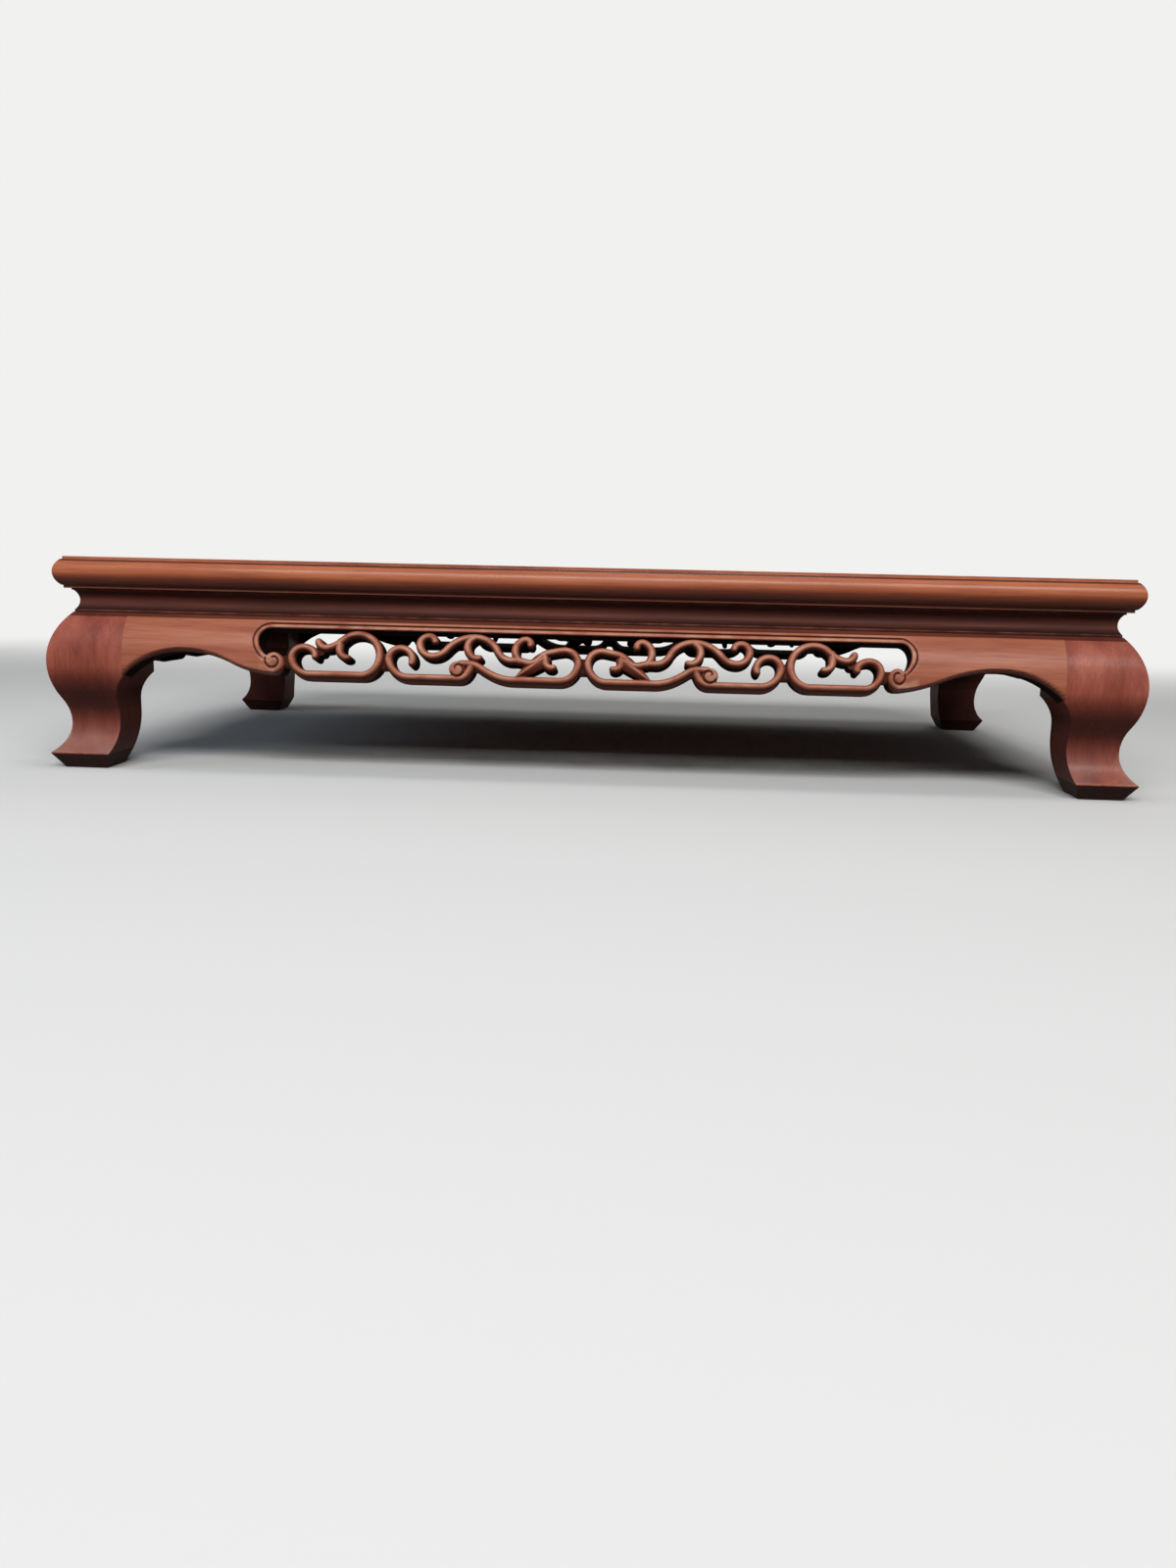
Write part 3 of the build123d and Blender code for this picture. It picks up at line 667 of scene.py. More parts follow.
def apron_mesh(run, reach, with_centre):
    """Places, faces, painted shade, and painted highlight with wear on the crests, of a carved apron, and
    how many of its faces are shown wood.
    """
    half_run = run / 2 - LEG_SQUARE
    top = APRON_TOP + PIERCING_SLOPE * APRON_TOP_INSET
    fields = carving(half_run, with_centre, top + GRID_MARGIN)
    if with_centre:
        fine_end = half_run - ARCH_PEAK_FROM_SEAM - PLAIN_FROM_PEAK
    else:
        fine_end = SHORT_FINE_SHARE * half_run
    fine = np.linspace(0, fine_end, int(fine_end / FINE_STEP) + 1)
    plain = np.linspace(fine_end, half_run, int((half_run - fine_end) / PLAIN_STEP) + 1)[1:]
    right = np.concatenate((fine, plain))
    columns = np.concatenate((-right[:0:-1], right))
    bottom = SCROLL_BOTTOM - GRID_MARGIN
    rows = np.linspace(bottom, top, int((top - bottom) / FINE_STEP) + 1)
    x, y, faces = contour(columns, rows, fields, with_centre)
    edge, depth, groove = carved(x, y, fields, with_centre)
    lower_depth = carved(x, y - FLANK_STEP, fields, with_centre)[1]
    lower_depth = np.minimum(lower_depth, STROKE_ROUNDING)
    flank = np.clip((lower_depth - depth) / FLANK_STEP, 0, 1)
    z, inset = through(y, face_inset)
    inward, down = depth * math.cos(PIERCING_TILT), depth * math.sin(PIERCING_TILT)
    front = np.stack((x, inset + inward - reach, z - down), axis=1)
    back_z, back = through(y, back_inset)
    at_top = y > top - TOUCH
    back_z[at_top] = APRON_TOP
    back[at_top] = POST_INSET
    rear = np.stack((x, back - reach, back_z), axis=1)
    edges = open_edges(faces)
    under = underside(x, y, edges, half_run)
    way = rear - front
    lip = WALL_LIP + (UNDERSIDE_LIP - WALL_LIP) * under
    lip_share = np.minimum(lip / np.linalg.norm(way, axis=1), LIP_SHARE_LIMIT)
    middle = front + way * lip_share[:, None]
    middle[:, 2] -= UNDERSIDE_DROP * under
    count = len(x)
    all_faces = faces + [[b, a, a + 2 * count, b + 2 * count] for a, b in edges]
    shown = len(all_faces)
    all_faces += [[b + 2 * count, a + 2 * count, a + count, b + count] for a, b in edges]
    all_faces += [[vertex + count for vertex in reversed(face)] for face in faces]
    # Painted shade: darker towards the strokes' edges, on their lower flanks, in the webs and in the
    # incised grooves
    shade_paint = EDGE_SHADE * np.clip(depth / STROKE_ROUNDING, 0, 1) ** EDGE_SHADE_CURVE
    shade_paint = np.maximum(shade_paint, FLANK_SHADE * flank ** FLANK_SHADE_CURVE)
    shade_paint = np.where(depth > STROKE_ROUNDING + TOUCH, WEB_SHADE, np.maximum(shade_paint, groove))
    # A painted shadow along the top, under the waist
    shade_paint = np.maximum(shade_paint, TOP_LINE_SHADOW * (z > APRON_TOP - TOP_LINE_HEIGHT))
    # Painted shade on the cut walls: full at the back, a little less at the middle of underside walls
    cavity = np.concatenate((shade_paint, np.ones(count), 1 - UNDERSIDE_BARE * under))
    opening_end = scroll_point(OPENING_END_SHARES, *motif_lengths(half_run, with_centre))[0]
    # Painted highlight with polish wear along the strokes' crests
    crest = np.clip(1 - depth / CREST_DEPTH, 0, 1) * np.interp(edge, CREST_REACH, (0, CREST_HIGHLIGHT))
    crest *= np.clip((opening_end - np.abs(x)) / CREST_FADE, 0, 1)
    crest = np.concatenate((crest, np.zeros(2 * count)))
    verts = np.vstack((front, rear, middle))
    used = np.zeros(3 * count, bool)
    used[np.concatenate([np.array(face) for face in all_faces])] = True
    renumber = np.cumsum(used) - 1
    all_faces = [[int(renumber[vertex]) for vertex in face] for face in all_faces]
    return verts[used], all_faces, cavity[used], crest[used], shown


def underside(x, y, edges, half_run):
    """How far each point belongs to the lowest contour and faces down, 0 to 1."""
    down = np.zeros(len(x))
    for a, b in edges:
        run = math.hypot(x[b] - x[a], y[b] - y[a])
        facing = max(0, (x[b] - x[a]) / run) ** 2 if run > 0 else 0
        down[a] = max(down[a], facing)
        down[b] = max(down[b], facing)
    column = np.round((x + half_run) / COLUMN_WIDTH).astype(int)
    lowest = np.full(column.max() + 1, FAR)
    np.minimum.at(lowest, column, y)
    return down * (y < lowest[column] + COLUMN_WIDTH)


def open_edges(faces):
    """Directed edges that only one face has."""
    edges = {}
    for face in faces:
        for a, b in zip(face, face[1:] + face[:1]):
            if (b, a) in edges:
                del edges[(b, a)]
            else:
                edges[(a, b)] = True
    return list(edges)


def turned(verts, degrees):
    """Places turned about the vertical axis."""
    x, y = rotated((verts[:, 0], verts[:, 1]), math.radians(degrees))
    return np.stack((x, y, verts[:, 2]), axis=1)


def ring_faces(rings, count):
    """Faces between rings of as many points each, and one face at either end."""
    last = (rings - 1) * count
    faces = []
    for start in range(0, last, count):
        for k in range(count):
            a, b = start + k, start + (k + 1) % count
            faces.append([a, b, b + count, a + count])
    faces.append(list(range(count))[::-1])
    faces.append(list(range(last, last + count)))
    return faces


def eased(points, radii):
    """Closed outline whose corners are rounded, with a value of wear and painted highlight at each point.
    """
    result = []
    wear = []
    count = len(points)
    for k, radius in enumerate(radii):
        before, here, after = (np.array(points[(k + step) % count], float) for step in (-1, 0, 1))
        back, forth = before - here, after - here
        reach_back, reach_forth = math.hypot(*back), math.hypot(*forth)
        bend = math.degrees(math.acos(np.clip(-(back @ forth) / reach_back / reach_forth, -1, 1)))
        if bend < EASED_BEND:
            result.append(here)
            wear.append(0)
            continue
        cut = min(radius, reach_back * EASED_SHARE, reach_forth * EASED_SHARE)
        start, end = here + back / reach_back * cut, here + forth / reach_forth * cut
        wide_back = min(EASED_WIDE * radius, EASED_WIDE_SHARE * reach_back)
        wide_forth = min(EASED_WIDE * radius, EASED_WIDE_SHARE * reach_forth)
        if wide_back > cut * EASED_WIDE_LEAST:
            result.append(here + back / reach_back * wide_back)
            wear.append(0)
        for step in range(EASED_STEPS + 1):
            t = step / EASED_STEPS
            result.append((1 - t) ** 2 * start + 2 * t * (1 - t) * here + t * t * end)
            wear.append(1)
        if wide_forth > cut * EASED_WIDE_LEAST:
            result.append(here + forth / reach_forth * wide_forth)
            wear.append(0)
    return np.array(result), np.array(wear, float)


def mitred_bar(section, run, reach):
    """Bar along the front with a closed section, mitred at both ends, and its wear and painted highlight.
    """
    outline, wear = eased(section, (EASED_EDGE,) * len(section))
    rings = []
    for share in np.linspace(-1, 1, BAR_PIECES + 1):
        half = run / 2 - outline[:, 0]
        rings.append(np.stack((share * half, outline[:, 0] - reach, outline[:, 1]), axis=1))
    faces = ring_faces(len(rings), len(outline))
    return np.vstack(rings), faces, np.tile(wear, len(rings))


def sampled(arc, count):
    """Points along an arc, its end left out, as plain pairs."""
    return [tuple(point) for point in arc.points(count)]


def through_three(start, middle, end, count):
    """Points of the arc through three points, its end left out."""
    chord = np.subtract(end, start)
    normal = np.array((-chord[1], chord[0])) / math.hypot(*chord)
    rise = np.subtract(middle, start) @ normal
    half = math.hypot(*chord) / 2
    lean = 2 * math.atan(rise / half)
    return sampled(Arc(start, end, rotated(chord, lean)), count)


def frame_outline():
    """Section of a top frame bar, inset by height."""
    inner = FRAME_EDGE_INSET + FRAME_WIDTH
    low, high = WAIST_TOP + FRAME_EDGE_HEIGHT, HEIGHT - FRAME_EDGE_HEIGHT
    nose = (NOSE_INSET, (WAIST_TOP + HEIGHT) / 2)
    points = [(FRAME_EDGE_INSET, WAIST_TOP), (FRAME_EDGE_INSET, low)]
    points += through_three((NOSE_EDGE_INSET, low), nose, (NOSE_EDGE_INSET, high), NOSE_POINTS)
    points += [(NOSE_EDGE_INSET, high), (FRAME_EDGE_INSET, high), (FRAME_EDGE_INSET, HEIGHT)]
    points += [(inner, HEIGHT), (inner, WAIST_TOP)]
    return points[::-1]


def waist_outline():
    """Section of the waist, inset by height."""
    foot_top = (WAIST_FOOT_INSET, APRON_TOP + WAIST_FOOT_HEIGHT)
    head = (WAIST_HEAD_INSET, WAIST_TOP - WAIST_FILLET_HEIGHT)
    deepest = (WAIST_COVE_INSET, (foot_top[1] + head[1]) / 2)
    points = [(WAIST_FOOT_INSET, APRON_TOP)]
    points += through_three(foot_top, deepest, head, COVE_POINTS)
    points += [head, (WAIST_FILLET_INSET, head[1]), (WAIST_FILLET_INSET, WAIST_TOP)]
    points += [(POST_INSET, WAIST_TOP), (POST_INSET, APRON_TOP)]
    return points[::-1]


def leg_profiles():
    """Heights with the outer and the inner inset of the leg at each of them."""
    shoulder, shin = outer_arcs()
    ankle = (ANKLE_INSET, ANKLE_HEIGHT)
    lip = (LIP_INSET, LIP_HEIGHT)
    outer = [(SOLE_INSET, 0), (LIP_INSET, LIP_UNDERSIDE_HEIGHT)]
    outer += [lip] + sampled(Arc(ankle, lip, (0, -1)), LIP_POINTS)[:0:-1]
    outer += sampled(Arc(ankle, shin.end, (0, 1)), SHIN_POINTS)
    outer += [tuple(shin.end)] + sampled(shin, SHIN_POINTS)[:0:-1]
    outer += sampled(shoulder, SHOULDER_POINTS) + [(APRON_TOP_INSET, APRON_TOP)]
    inner = [(HEEL_INSET, 0)]
    heel = Arc((CALF_INSET, CALF_BOTTOM), (HEEL_INSET, 0), (0, -1))
    inner += sampled(heel, HEEL_POINTS)[:0:-1]
    inner += [(CALF_INSET, CALF_BOTTOM)]
    bracket = Arc((CALF_INSET, CALF_TOP), (LEG_SQUARE, LEG_SQUARE_BOTTOM), (0, 1))
    inner += sampled(bracket, BRACKET_POINTS)
    inner += [(LEG_SQUARE, LEG_SQUARE_BOTTOM), (LEG_SQUARE, APRON_TOP)]
    return np.array(outer), np.array(inner)


def leg_ring(outer, inner, height):
    """Square ring of a leg with its outer corner towards the origin, and the wear and painted highlight
    on it.
    """
    square = [(outer, outer), (inner, outer), (inner, inner), (outer, inner)]
    points, wear = eased(square, (ARRIS_EASE, SEAM_EASE, ARRIS_EASE, SEAM_EASE))
    return np.column_stack((points, np.full(len(points), height))), wear


def leg_mesh():
    """Places and faces of one leg, its outer corner at the origin, with its wear and painted highlight,
    painted shade, and dust with painted sheen.
    """
    outer, inner = leg_profiles()
    line = APRON_TOP - TOP_LINE_HEIGHT
    heights = np.concatenate((outer[:, 1], inner[:, 1], (line - TOP_LINE_SOFTNESS, line)))
    heights = sorted(set(np.round(heights, 3)))
    rings = []
    wears = []
    shade_paints = []
    for height in heights:
        out = np.interp(height, outer[:, 1], outer[:, 0])
        inn = np.interp(height, inner[:, 1], inner[:, 0])
        ring, wear = leg_ring(out, inn, height)
        on_lip = LIP_UNDERSIDE_HEIGHT < height < LIP_HEIGHT + LIP_WEAR_AND_HIGHLIGHT_HEIGHT
        rings.append(ring)
        wears.append(np.ones(len(wear)) if on_lip else wear * (height < ANKLE_HEIGHT))
        # Painted shade: black under the foot's lip, a painted shadow along the top, darker below the
        # bulge, and darker on the inner sides
        shade_paint = TOP_LINE_SHADOW * (height > line - TOUCH) + float(height < LIP_HEIGHT - SOLE_SHADE_GAP)
        shade_paint = max(shade_paint, np.interp(height, LEG_SHADE_LEVELS, LEG_SHADE_AMOUNTS))
        on_side = np.max(ring[:, :2], axis=1) > inn - TOUCH
        shade_paints.append(np.maximum(shade_paint, LEG_SIDE_SHADE * on_side))
    for height in (APRON_TOP, WAIST_TOP):
        ring, wear = leg_ring(POST_INSET, LEG_SQUARE, height)
        rings.append(ring)
        wears.append(0 * wear)
        shade_paints.append(0 * wear)
    faces = ring_faces(len(rings), len(rings[0]))
    verts = np.vstack(rings)
    # Dust with a painted greyish sheen on the foot and ankle
    dust = np.interp(verts[:, 2], DUST_AND_SHEEN_LEVELS, DUST_AND_SHEEN)
    return verts, faces, np.concatenate(wears), np.concatenate(shade_paints), dust


def node(tree, kind, inputs=None, **settings):
    """Shader node with some inputs linked or set."""
    made = tree.nodes.new("ShaderNode" + kind)
    for name, value in settings.items():
        setattr(made, name, value)
    for key, value in (inputs or {}).items():
        socket = made.inputs[key]
        if isinstance(value, bpy.types.NodeSocket):
            tree.links.new(value, socket)
        else:
            socket.default_value = value
    return made


def colour(red, green, blue):
    """Shader colour from red, green and blue as seen on a screen, 0 to 255."""
    linear = []
    for value in (red, green, blue):
        share = value / 255
        linear.append(share / 12.92 if share <= 0.04045 else ((share + 0.055) / 1.055) ** 2.4)
    return (*linear, 1)


def maths(tree, operation, first, second, clamp=False):
    """Output of one operation on two values."""
    made = node(tree, "Math", {0: first, 1: second}, operation=operation, use_clamp=clamp)
    return made.outputs[0]


def mix(tree, factor, first, second, blend="MIX"):
    """Colour output of a mix of two colours."""
    made = tree.nodes.new("ShaderNodeMix")
    made.data_type = "RGBA"
    made.blend_type = blend
    for index, value in ((0, factor), (6, first), (7, second)):
        if isinstance(value, bpy.types.NodeSocket):
            tree.links.new(value, made.inputs[index])
        else:
            made.inputs[index].default_value = value
    return made.outputs[2]


def ramp(tree, value, stops):
    """Colour output of a ramp through a list of place and colour."""
    made = node(tree, "ValToRGB", {"Fac": value})
    elements = made.color_ramp.elements
    elements[0].position, elements[0].color = stops[0]
    elements[1].position, elements[1].color = stops[-1]
    for place, shade in stops[1:-1]:
        elements.new(place).color = shade
    return made.outputs["Color"]


def grey(level):
    """Neutral colour of a level."""
    return (level, level, level, 1)


def looking(tree):
    """One for rays that look at the surroundings, and nought for those that light the object."""
    rays = node(tree, "LightPath").outputs
    seen = maths(tree, "ADD", rays["Is Camera Ray"], rays["Is Glossy Ray"])
    return maths(tree, "ADD", seen, rays["Is Transmission Ray"], clamp=True)


# Noise of the wood's layers: coarseness along and across the grain, detail, roughness and warp.
# The figure's coarseness is each wood's own.
FIGURE_NOISE = (4, 0.6, 0.25)
STREAK_NOISE = (16, 700, 3, 0.6)
PORE_NOISE = (50, 1500, 2)
CLOUD_NOISE = (9, 14, 3)
WEAR_AND_HIGHLIGHT_NOISE = (60, 90, 3)
DUST_AND_SHEEN_NOISE = (30, 40, 3)

# What each noise turns into
FIGURE_LEVELS = (0.28, 0.50, 0.72)
STREAK_STOPS = ((0.34, grey(0.70)), (0.60, grey(1.05)))
PORE_STOPS = ((0.33, grey(0.50)), (0.44, grey(1.0)))
CLOUD_STOPS = ((0.32, (0.86, 0.80, 0.80, 1)), (0.68, (1.07, 1.08, 1.05, 1)))
WEAR_AND_HIGHLIGHT_STOPS = ((0.35, grey(0)), (0.65, grey(1)))
DUST_AND_SHEEN_STOPS = ((0.30, grey(0.2)), (0.65, grey(1)))

# How strongly each layer shows, and the colours that lie over the grain
STREAK_SHARE = 0.5
PORE_SHARE = 0.4
CLOUD_SHARE = 0.6
WEAR_AND_HIGHLIGHT_SHARE = 0.35
WEAR_AND_HIGHLIGHT_COLOUR = colour(205, 150, 125)
DUST_AND_SHEEN_COLOUR = colour(140, 112, 104)
# Painted shade: its tint, how far it darkens, its colour, and the dulling of the gloss
SHADE_TINT = (1, 0.6, 0.5, 1)
SHADE_SHARE = 0.96
SHADE_COLOUR = colour(16, 5, 4)
SHADE_DULLING = 0.5
ROUGHER = 0.09
SMOOTHER = -0.05
PORE_RELIEF = 0.6
RELIEF_STRENGTH = 0.22
RELIEF_DEPTH = 0.0004
COAT_ROUGHNESS = 0.17
SPECULAR_TINT = (1, 0.84, 0.75, 1)


def rosewood(name, along, shades, roughness=0.40, coat=0.22, gloss=0.25, run=4, band=70):
    """Lacquered rosewood, light, middle and dark, whose grain runs along one axis."""
    light, middle, dark = shades
    material = bpy.data.materials.new(name)
    material.use_nodes = True
    tree = material.node_tree
    shader = tree.nodes["Principled BSDF"]
    place = node(tree, "TexCoord").outputs["Object"]

    def noise(length, across, detail, rough=0.5, warp=0.0):
        """Noise with one coarseness along the grain and another across it."""
        scale = [across, across, across]
        scale["xyz".index(along)] = length
        stretched = node(tree, "Mapping", {"Vector": place, "Scale": scale}).outputs["Vector"]
        inputs = {"Vector": stretched, "Scale": 1.0, "Detail": detail, "Roughness": rough}
        inputs["Distortion"] = warp
        return node(tree, "TexNoise", inputs).outputs["Fac"]

    def patches(label, grain, stops):
        """Attribute of the mesh, broken up by noise."""
        amount = node(tree, "Attribute", attribute_name=label).outputs["Fac"]
        return maths(tree, "MULTIPLY", amount, ramp(tree, noise(*grain), stops))

    streaks = noise(*STREAK_NOISE)
    pores = noise(*PORE_NOISE)
    figure = list(zip(FIGURE_LEVELS, (dark, middle, light)))
    base = ramp(tree, noise(run, band, *FIGURE_NOISE), figure)
    base = mix(tree, STREAK_SHARE, base, ramp(tree, streaks, STREAK_STOPS), "MULTIPLY")
    base = mix(tree, PORE_SHARE, base, ramp(tree, pores, PORE_STOPS), "MULTIPLY")
    base = mix(tree, CLOUD_SHARE, base, ramp(tree, noise(*CLOUD_NOISE), CLOUD_STOPS), "MULTIPLY")
    # Wear with a painted highlight, lighter in patches along eased edges and crests
    worn_and_lit = patches("wear", WEAR_AND_HIGHLIGHT_NOISE, WEAR_AND_HIGHLIGHT_STOPS)
    base = mix(tree, maths(tree, "MULTIPLY", worn_and_lit, WEAR_AND_HIGHLIGHT_SHARE), base, WEAR_AND_HIGHLIGHT_COLOUR)
    # Dust with a painted greyish sheen
    base = mix(tree, patches("dust", DUST_AND_SHEEN_NOISE, DUST_AND_SHEEN_STOPS), base, DUST_AND_SHEEN_COLOUR)
    # Painted shade: darker and duller wood in hollows, creases, cut walls and undersides
    shade_amount = node(tree, "Attribute", attribute_name="cavity").outputs["Fac"]
    base = mix(tree, shade_amount, base, SHADE_TINT, "MULTIPLY")
    base = mix(tree, shade_amount, base, mix(tree, SHADE_SHARE, base, SHADE_COLOUR))
    tree.links.new(base, shader.inputs["Base Color"])
    inputs = {"Value": streaks, "From Min": 0.3, "From Max": 0.7}
    inputs.update({"To Min": roughness + ROUGHER, "To Max": roughness + SMOOTHER})
    rough = node(tree, "MapRange", inputs).outputs["Result"]
    dulled = maths(tree, "ADD", rough, maths(tree, "MULTIPLY", shade_amount, SHADE_DULLING))
    tree.links.new(dulled, shader.inputs["Roughness"])
    relief = maths(tree, "ADD", streaks, maths(tree, "MULTIPLY", pores, PORE_RELIEF))
    inputs = {"Height": relief, "Strength": RELIEF_STRENGTH, "Distance": RELIEF_DEPTH}
    tree.links.new(node(tree, "Bump", inputs).outputs["Normal"], shader.inputs["Normal"])
    shader.inputs["Coat Weight"].default_value = coat
    shader.inputs["Coat Roughness"].default_value = COAT_ROUGHNESS
    shader.inputs["Specular IOR Level"].default_value = gloss
    shader.inputs["Specular Tint"].default_value = SPECULAR_TINT
    return material


# Materials, each from its light, middle and dark shades
FRAME_SHADES = (colour(194, 115, 75), colour(172, 92, 57), colour(136, 62, 34))
APRON_SHADES = (colour(189, 119, 91), colour(166, 94, 70), colour(132, 65, 49))
LEG_SHADES = (colour(178, 101, 81), colour(155, 78, 62), colour(124, 55, 43))
# The waist's shades are darker than the other woods, painted shade under the overhanging frame
WAIST_SHADES = (colour(104, 54, 42), colour(80, 34, 25), colour(50, 17, 11))
INNER_SHADES = (colour(120, 70, 55), colour(90, 48, 38), colour(60, 30, 24))
PAINTED_SHADE_TONES = (colour(30, 13, 9), colour(20, 8, 6), colour(12, 5, 4))
CARVED_COAT = 0.08
frame_wood = {}
apron_wood = {}
waist_wood = {}
for axis in "xy":
    frame_wood[axis] = rosewood("frame_wood_" + axis, axis, FRAME_SHADES)
    apron_wood[axis] = rosewood("apron_wood_" + axis, axis, APRON_SHADES, coat=CARVED_COAT)
    waist_wood[axis] = rosewood("waist_wood_" + axis, axis, WAIST_SHADES, roughness=0.5, coat=0.0)
leg_wood = rosewood("leg_wood", "z", LEG_SHADES, coat=CARVED_COAT, run=14, band=42)
panel_wood = rosewood("panel_wood", "x", FRAME_SHADES)
inner_wood = rosewood("inner_wood", "y", INNER_SHADES, roughness=0.6, coat=0.0)
# A dark copy of the wood for the deep cut walls, painted shade
painted_shade_wood = rosewood("painted_shade_wood", "x", PAINTED_SHADE_TONES, roughness=0.75, coat=0.0, gloss=0.1)


def waist_shade_paint(verts):
    """Painted shade at each place of a waist strip: dark at both seams, darker near the foot, and a
    painted shadow under the frame.
    """
    share = (verts[:, 2] - APRON_TOP) / (WAIST_TOP - APRON_TOP)
    return np.interp(share, WAIST_SHADE_LEVELS, WAIST_SHADE_AMOUNTS)


def frame_shade_paint(verts, reach):
    """Painted shade at each place of a frame bar: in both creases, along the seam and on the lower half
    of the nose.
    """
    z = verts[:, 2]
    low, high = WAIST_TOP + FRAME_EDGE_HEIGHT, HEIGHT - FRAME_EDGE_HEIGHT
    in_low = (z > low - TOUCH) & (z < low + CREASE_REACH)
    in_high = (z > high - CREASE_REACH) & (z < high + TOUCH)
    shade_paint = np.maximum(CREASE_SHADE * (in_low | in_high), z < WAIST_TOP + SEAM_SHADE_HEIGHT)
    share = (z - WAIST_TOP) / (HEIGHT - WAIST_TOP)
    # Painted shade, darker towards the bottom of the nose
    on_nose = verts[:, 1] < FRAME_EDGE_INSET - reach + NOSE_MARGIN
    return np.maximum(shade_paint, on_nose * np.interp(share, NOSE_SHADE_LEVELS, NOSE_SHADE_AMOUNTS))


# Pieces of each side: name, length, distance from the middle, turn
SIDES = (
    ("front", LENGTH, DEPTH / 2, 0),
    ("right", DEPTH, LENGTH / 2, 90),
    ("back", LENGTH, DEPTH / 2, 180),
    ("left", DEPTH, LENGTH / 2, 270),
)
apron_meshes = {run: apron_mesh(run, reach, run == LENGTH) for _, run, reach, _ in SIDES[:2]}
for side, run, reach, degrees in SIDES:
    axis = "x" if run == LENGTH else "y"
    verts, faces, cavity, crest, shown = apron_meshes[run]
    verts = turned(verts, degrees)
    add_piece(
        "carved_apron_" + side, "apron_" + side, "apron_wood", apron_wood[axis], verts, faces,
        CARVING_SHARP, shown, wear=crest, cavity=cavity,
    )
    verts, faces, wear = mitred_bar(waist_outline(), run, reach)
    shade_paint = waist_shade_paint(verts)
    verts = turned(verts, degrees)
    add_piece(
        "waist_strip_" + side, "waist_" + side, "waist_wood", waist_wood[axis], verts, faces,
        wear=wear, cavity=shade_paint,
    )
    verts, faces, wear = mitred_bar(frame_outline(), run, reach)
    shade_paint = frame_shade_paint(verts, reach)
    verts = turned(verts, degrees)
    add_piece(
        "frame_bar_" + side, "top_frame_" + side, "frame_wood", frame_wood[axis], verts, faces,
        wear=wear, cavity=shade_paint,
    )

# Legs: name, sides of the middle, turn
leg_verts, leg_faces, leg_wear, leg_shade_paint, leg_dust = leg_mesh()
LEGS = (
    ("front_left", -1, -1, 0),
    ("front_right", 1, -1, 90),
    ("back_right", 1, 1, 180),
    ("back_left", -1, 1, 270),
)
for corner, x_side, y_side, degrees in LEGS:
    verts = turned(leg_verts, degrees) + (x_side * LENGTH / 2, y_side * DEPTH / 2, 0)
    add_piece(
        "shaped_leg_" + corner, "leg_" + corner, "leg_wood", leg_wood, verts, leg_faces,
        wear=leg_wear, cavity=leg_shade_paint, dust=leg_dust,
    )

# Top panel: height, shrink, and wear with painted highlight of each level
PANEL_LEVELS = (
    (PANEL_BOTTOM, 0, 0),
    (HEIGHT - 1.2, 0, 0),
    (HEIGHT - 0.4, 0, 1),
    (HEIGHT, 0.4, 1),
    (HEIGHT, 2, 0),
)
panel_inset = FRAME_EDGE_INSET + FRAME_WIDTH + PANEL_GAP
half_length, half_depth = LENGTH / 2 - panel_inset, DEPTH / 2 - panel_inset
panel_verts = []
panel_wear = []
for level, shrink, worn_and_lit in PANEL_LEVELS:
    for x_side, y_side in ((-1, -1), (1, -1), (1, 1), (-1, 1)):
        panel_verts.append((x_side * (half_length - shrink), y_side * (half_depth - shrink), level))
        panel_wear.append(worn_and_lit)
panel_faces = ring_faces(len(PANEL_LEVELS), 4)
add_piece("panel_board", "top_panel", "panel_wood", panel_wood, panel_verts, panel_faces, wear=panel_wear)

# Hidden pieces keep their own shape
for name in ("batten_left", "batten_center", "batten_right", "waist_pins"):
    for material_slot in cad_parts[name].material_slots:
        material_slot.material = inner_wood

# Floor and backdrop in one pale sweep, which throws little light back up at the wood
FLOOR_PALE = (0.74, 0.74, 0.73, 1)
FLOOR_UNLIT = (0.06, 0.06, 0.06, 1)
BACKDROP_WHITE = (0.88, 0.88, 0.87, 1)
FLOOR_HALF = 6.0
FLOOR_CALM = 0.6
GLOW_START = 0.5
GLOW_END = 1.9
SWEEP_START = 2.0
SWEEP_RADIUS = 1.5
SWEEP_STEPS = 24
BACKDROP_TOP = 6.0
section = [(-FLOOR_HALF, 0.0), (SWEEP_START, 0.0)]
for step in range(1, SWEEP_STEPS + 1):
    angle = math.pi / 2 * step / SWEEP_STEPS
    rise = SWEEP_RADIUS * (1 - math.cos(angle))
    section.append((SWEEP_START + SWEEP_RADIUS * math.sin(angle), rise))
section.append((SWEEP_START + SWEEP_RADIUS, BACKDROP_TOP))
sweep = bpy.data.meshes.new("sweep")
points = [(side * FLOOR_HALF, y, z) for y, z in section for side in (-1, 1)]
strips = [[2 * k, 2 * k + 1, 2 * k + 3, 2 * k + 2] for k in range(len(section) - 1)]
sweep.from_pydata(points, [], strips)
sweep.polygons.foreach_set("use_smooth", [True] * len(sweep.polygons))
floor = bpy.data.objects.new("sweep", sweep)
bpy.context.scene.collection.objects.link(floor)
paper = bpy.data.materials.new("paper")
paper.use_nodes = True
tree = paper.node_tree
seen = looking(tree)
place = node(tree, "NewGeometry").outputs["Position"]
behind = node(tree, "SeparateXYZ", {"Vector": place}).outputs["Y"]
around = node(tree, "VectorMath", {0: place}, operation="LENGTH").outputs["Value"]
distance = maths(tree, "MAXIMUM", behind, maths(tree, "SUBTRACT", around, FLOOR_CALM))
inputs = {"Value": distance, "From Min": GLOW_START, "From Max": GLOW_END}
far = node(tree, "MapRange", inputs, interpolation_type="SMOOTHSTEP").outputs["Result"]
glow = maths(tree, "MULTIPLY", far, seen)
sheet = tree.nodes["Principled BSDF"]
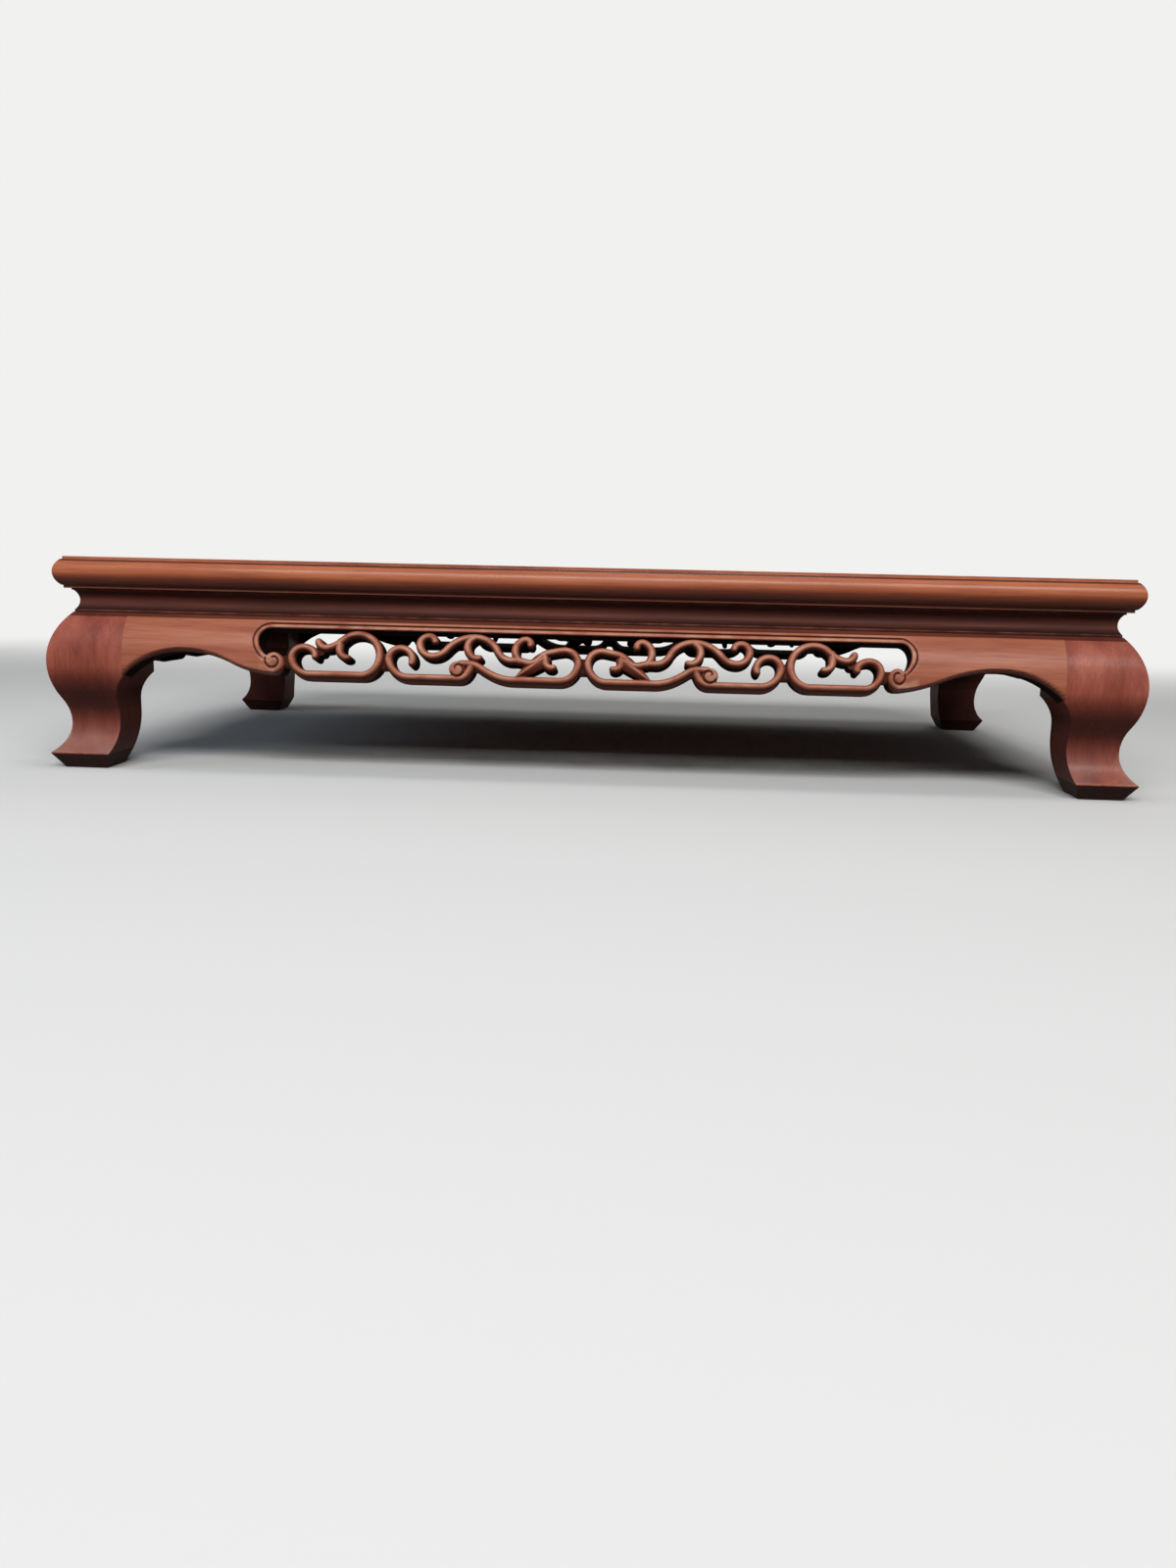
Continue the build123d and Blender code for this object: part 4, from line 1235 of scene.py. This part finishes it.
nearby = mix(tree, seen, FLOOR_UNLIT, FLOOR_PALE)
tree.links.new(mix(tree, glow, nearby, (0, 0, 0, 1)), sheet.inputs["Base Color"])
tree.links.new(glow, sheet.inputs["Emission Strength"])
sheet.inputs["Emission Color"].default_value = BACKDROP_WHITE
sheet.inputs["Roughness"].default_value = 0.9
sheet.inputs["Specular IOR Level"].default_value = 0.0
sweep.materials.append(paper)

# World: pale where it is looked at, and dim where it lights the object
WORLD_LIGHT = 0.09
WORLD_SEEN = 0.88
WORLD_COLOUR = (1, 1, 0.99, 1)
world = bpy.data.worlds.new("studio")
world.use_nodes = True
bpy.context.scene.world = world
tree = world.node_tree
strength = maths(tree, "MULTIPLY", looking(tree), WORLD_SEEN - WORLD_LIGHT)
strength = maths(tree, "ADD", strength, WORLD_LIGHT)
tree.nodes["Background"].inputs["Color"].default_value = WORLD_COLOUR
tree.links.new(strength, tree.nodes["Background"].inputs["Strength"])

# Lamps
STAND_LEFT = (-0.3, -0.2, 0.1)
DAYLIGHT = (0.72, 0.86, 1.0)


def area_light(name, place, width, height, power, target=(0, 0, 0.1), tint=(1, 1, 1)):
    """Rectangular soft light that faces a target."""
    data = bpy.data.lights.new(name, "AREA")
    data.shape = "RECTANGLE"
    data.size = width
    data.size_y = height
    data.energy = power
    data.color = tint
    lamp = bpy.data.objects.new(name, data)
    bpy.context.scene.collection.objects.link(lamp)
    back = np.subtract(place, target) / np.linalg.norm(np.subtract(place, target))
    right = np.cross((0, 0, 1), back)
    right /= np.linalg.norm(right)
    stance = Matrix(np.column_stack((right, np.cross(back, right), back)).tolist()).to_4x4()
    stance.translation = place
    lamp.matrix_world = stance


area_light("key", (0.1, -2.75, 2.3), width=3.4, height=0.9, power=106)
area_light("ceiling", (0.1, -0.3, 2.6), width=0.8, height=0.8, power=12)
area_light("back", (0.5, 1.6, 2.2), width=1.6, height=1.6, power=8)
area_light("fill", (-2.2, -1.0, 0.9), width=0.8, height=0.8, power=9, target=STAND_LEFT, tint=DAYLIGHT)

# Camera at the photograph's angle
CAMERA_PLACE = (0.0619, -1.2970, 0.1767)
CAMERA_YAW = 0.054654
CAMERA_PITCH = 0.169837
CAMERA_ROLL = 0.022968
FOCAL_PIXELS = 1202
IMAGE_WIDTH = 1200
SENSOR_WIDTH = 36
cy, sy = math.cos(CAMERA_YAW), math.sin(CAMERA_YAW)
cp, sp = math.cos(CAMERA_PITCH), math.sin(CAMERA_PITCH)
cr, sr = math.cos(CAMERA_ROLL), math.sin(CAMERA_ROLL)
turn = np.array(((cy, -sy, 0), (sy, cy, 0), (0, 0, 1)))
level = np.array(((1, 0, 0), (0, -sp, -cp), (0, cp, -sp))) @ turn.T
axes = np.array(((cr, -sr, 0), (sr, cr, 0), (0, 0, 1))) @ level
camera_data = bpy.data.cameras.new("camera")
camera_data.sensor_fit = "HORIZONTAL"
camera_data.sensor_width = SENSOR_WIDTH
camera_data.lens = SENSOR_WIDTH * FOCAL_PIXELS / IMAGE_WIDTH
camera = bpy.data.objects.new("camera", camera_data)
pose = Matrix(np.column_stack((axes[0], -axes[1], -axes[2])).tolist()).to_4x4()
pose.translation = CAMERA_PLACE
camera.matrix_world = pose
bpy.context.scene.collection.objects.link(camera)
bpy.context.scene.camera = camera
bpy.context.scene.view_settings.view_transform = "Standard"
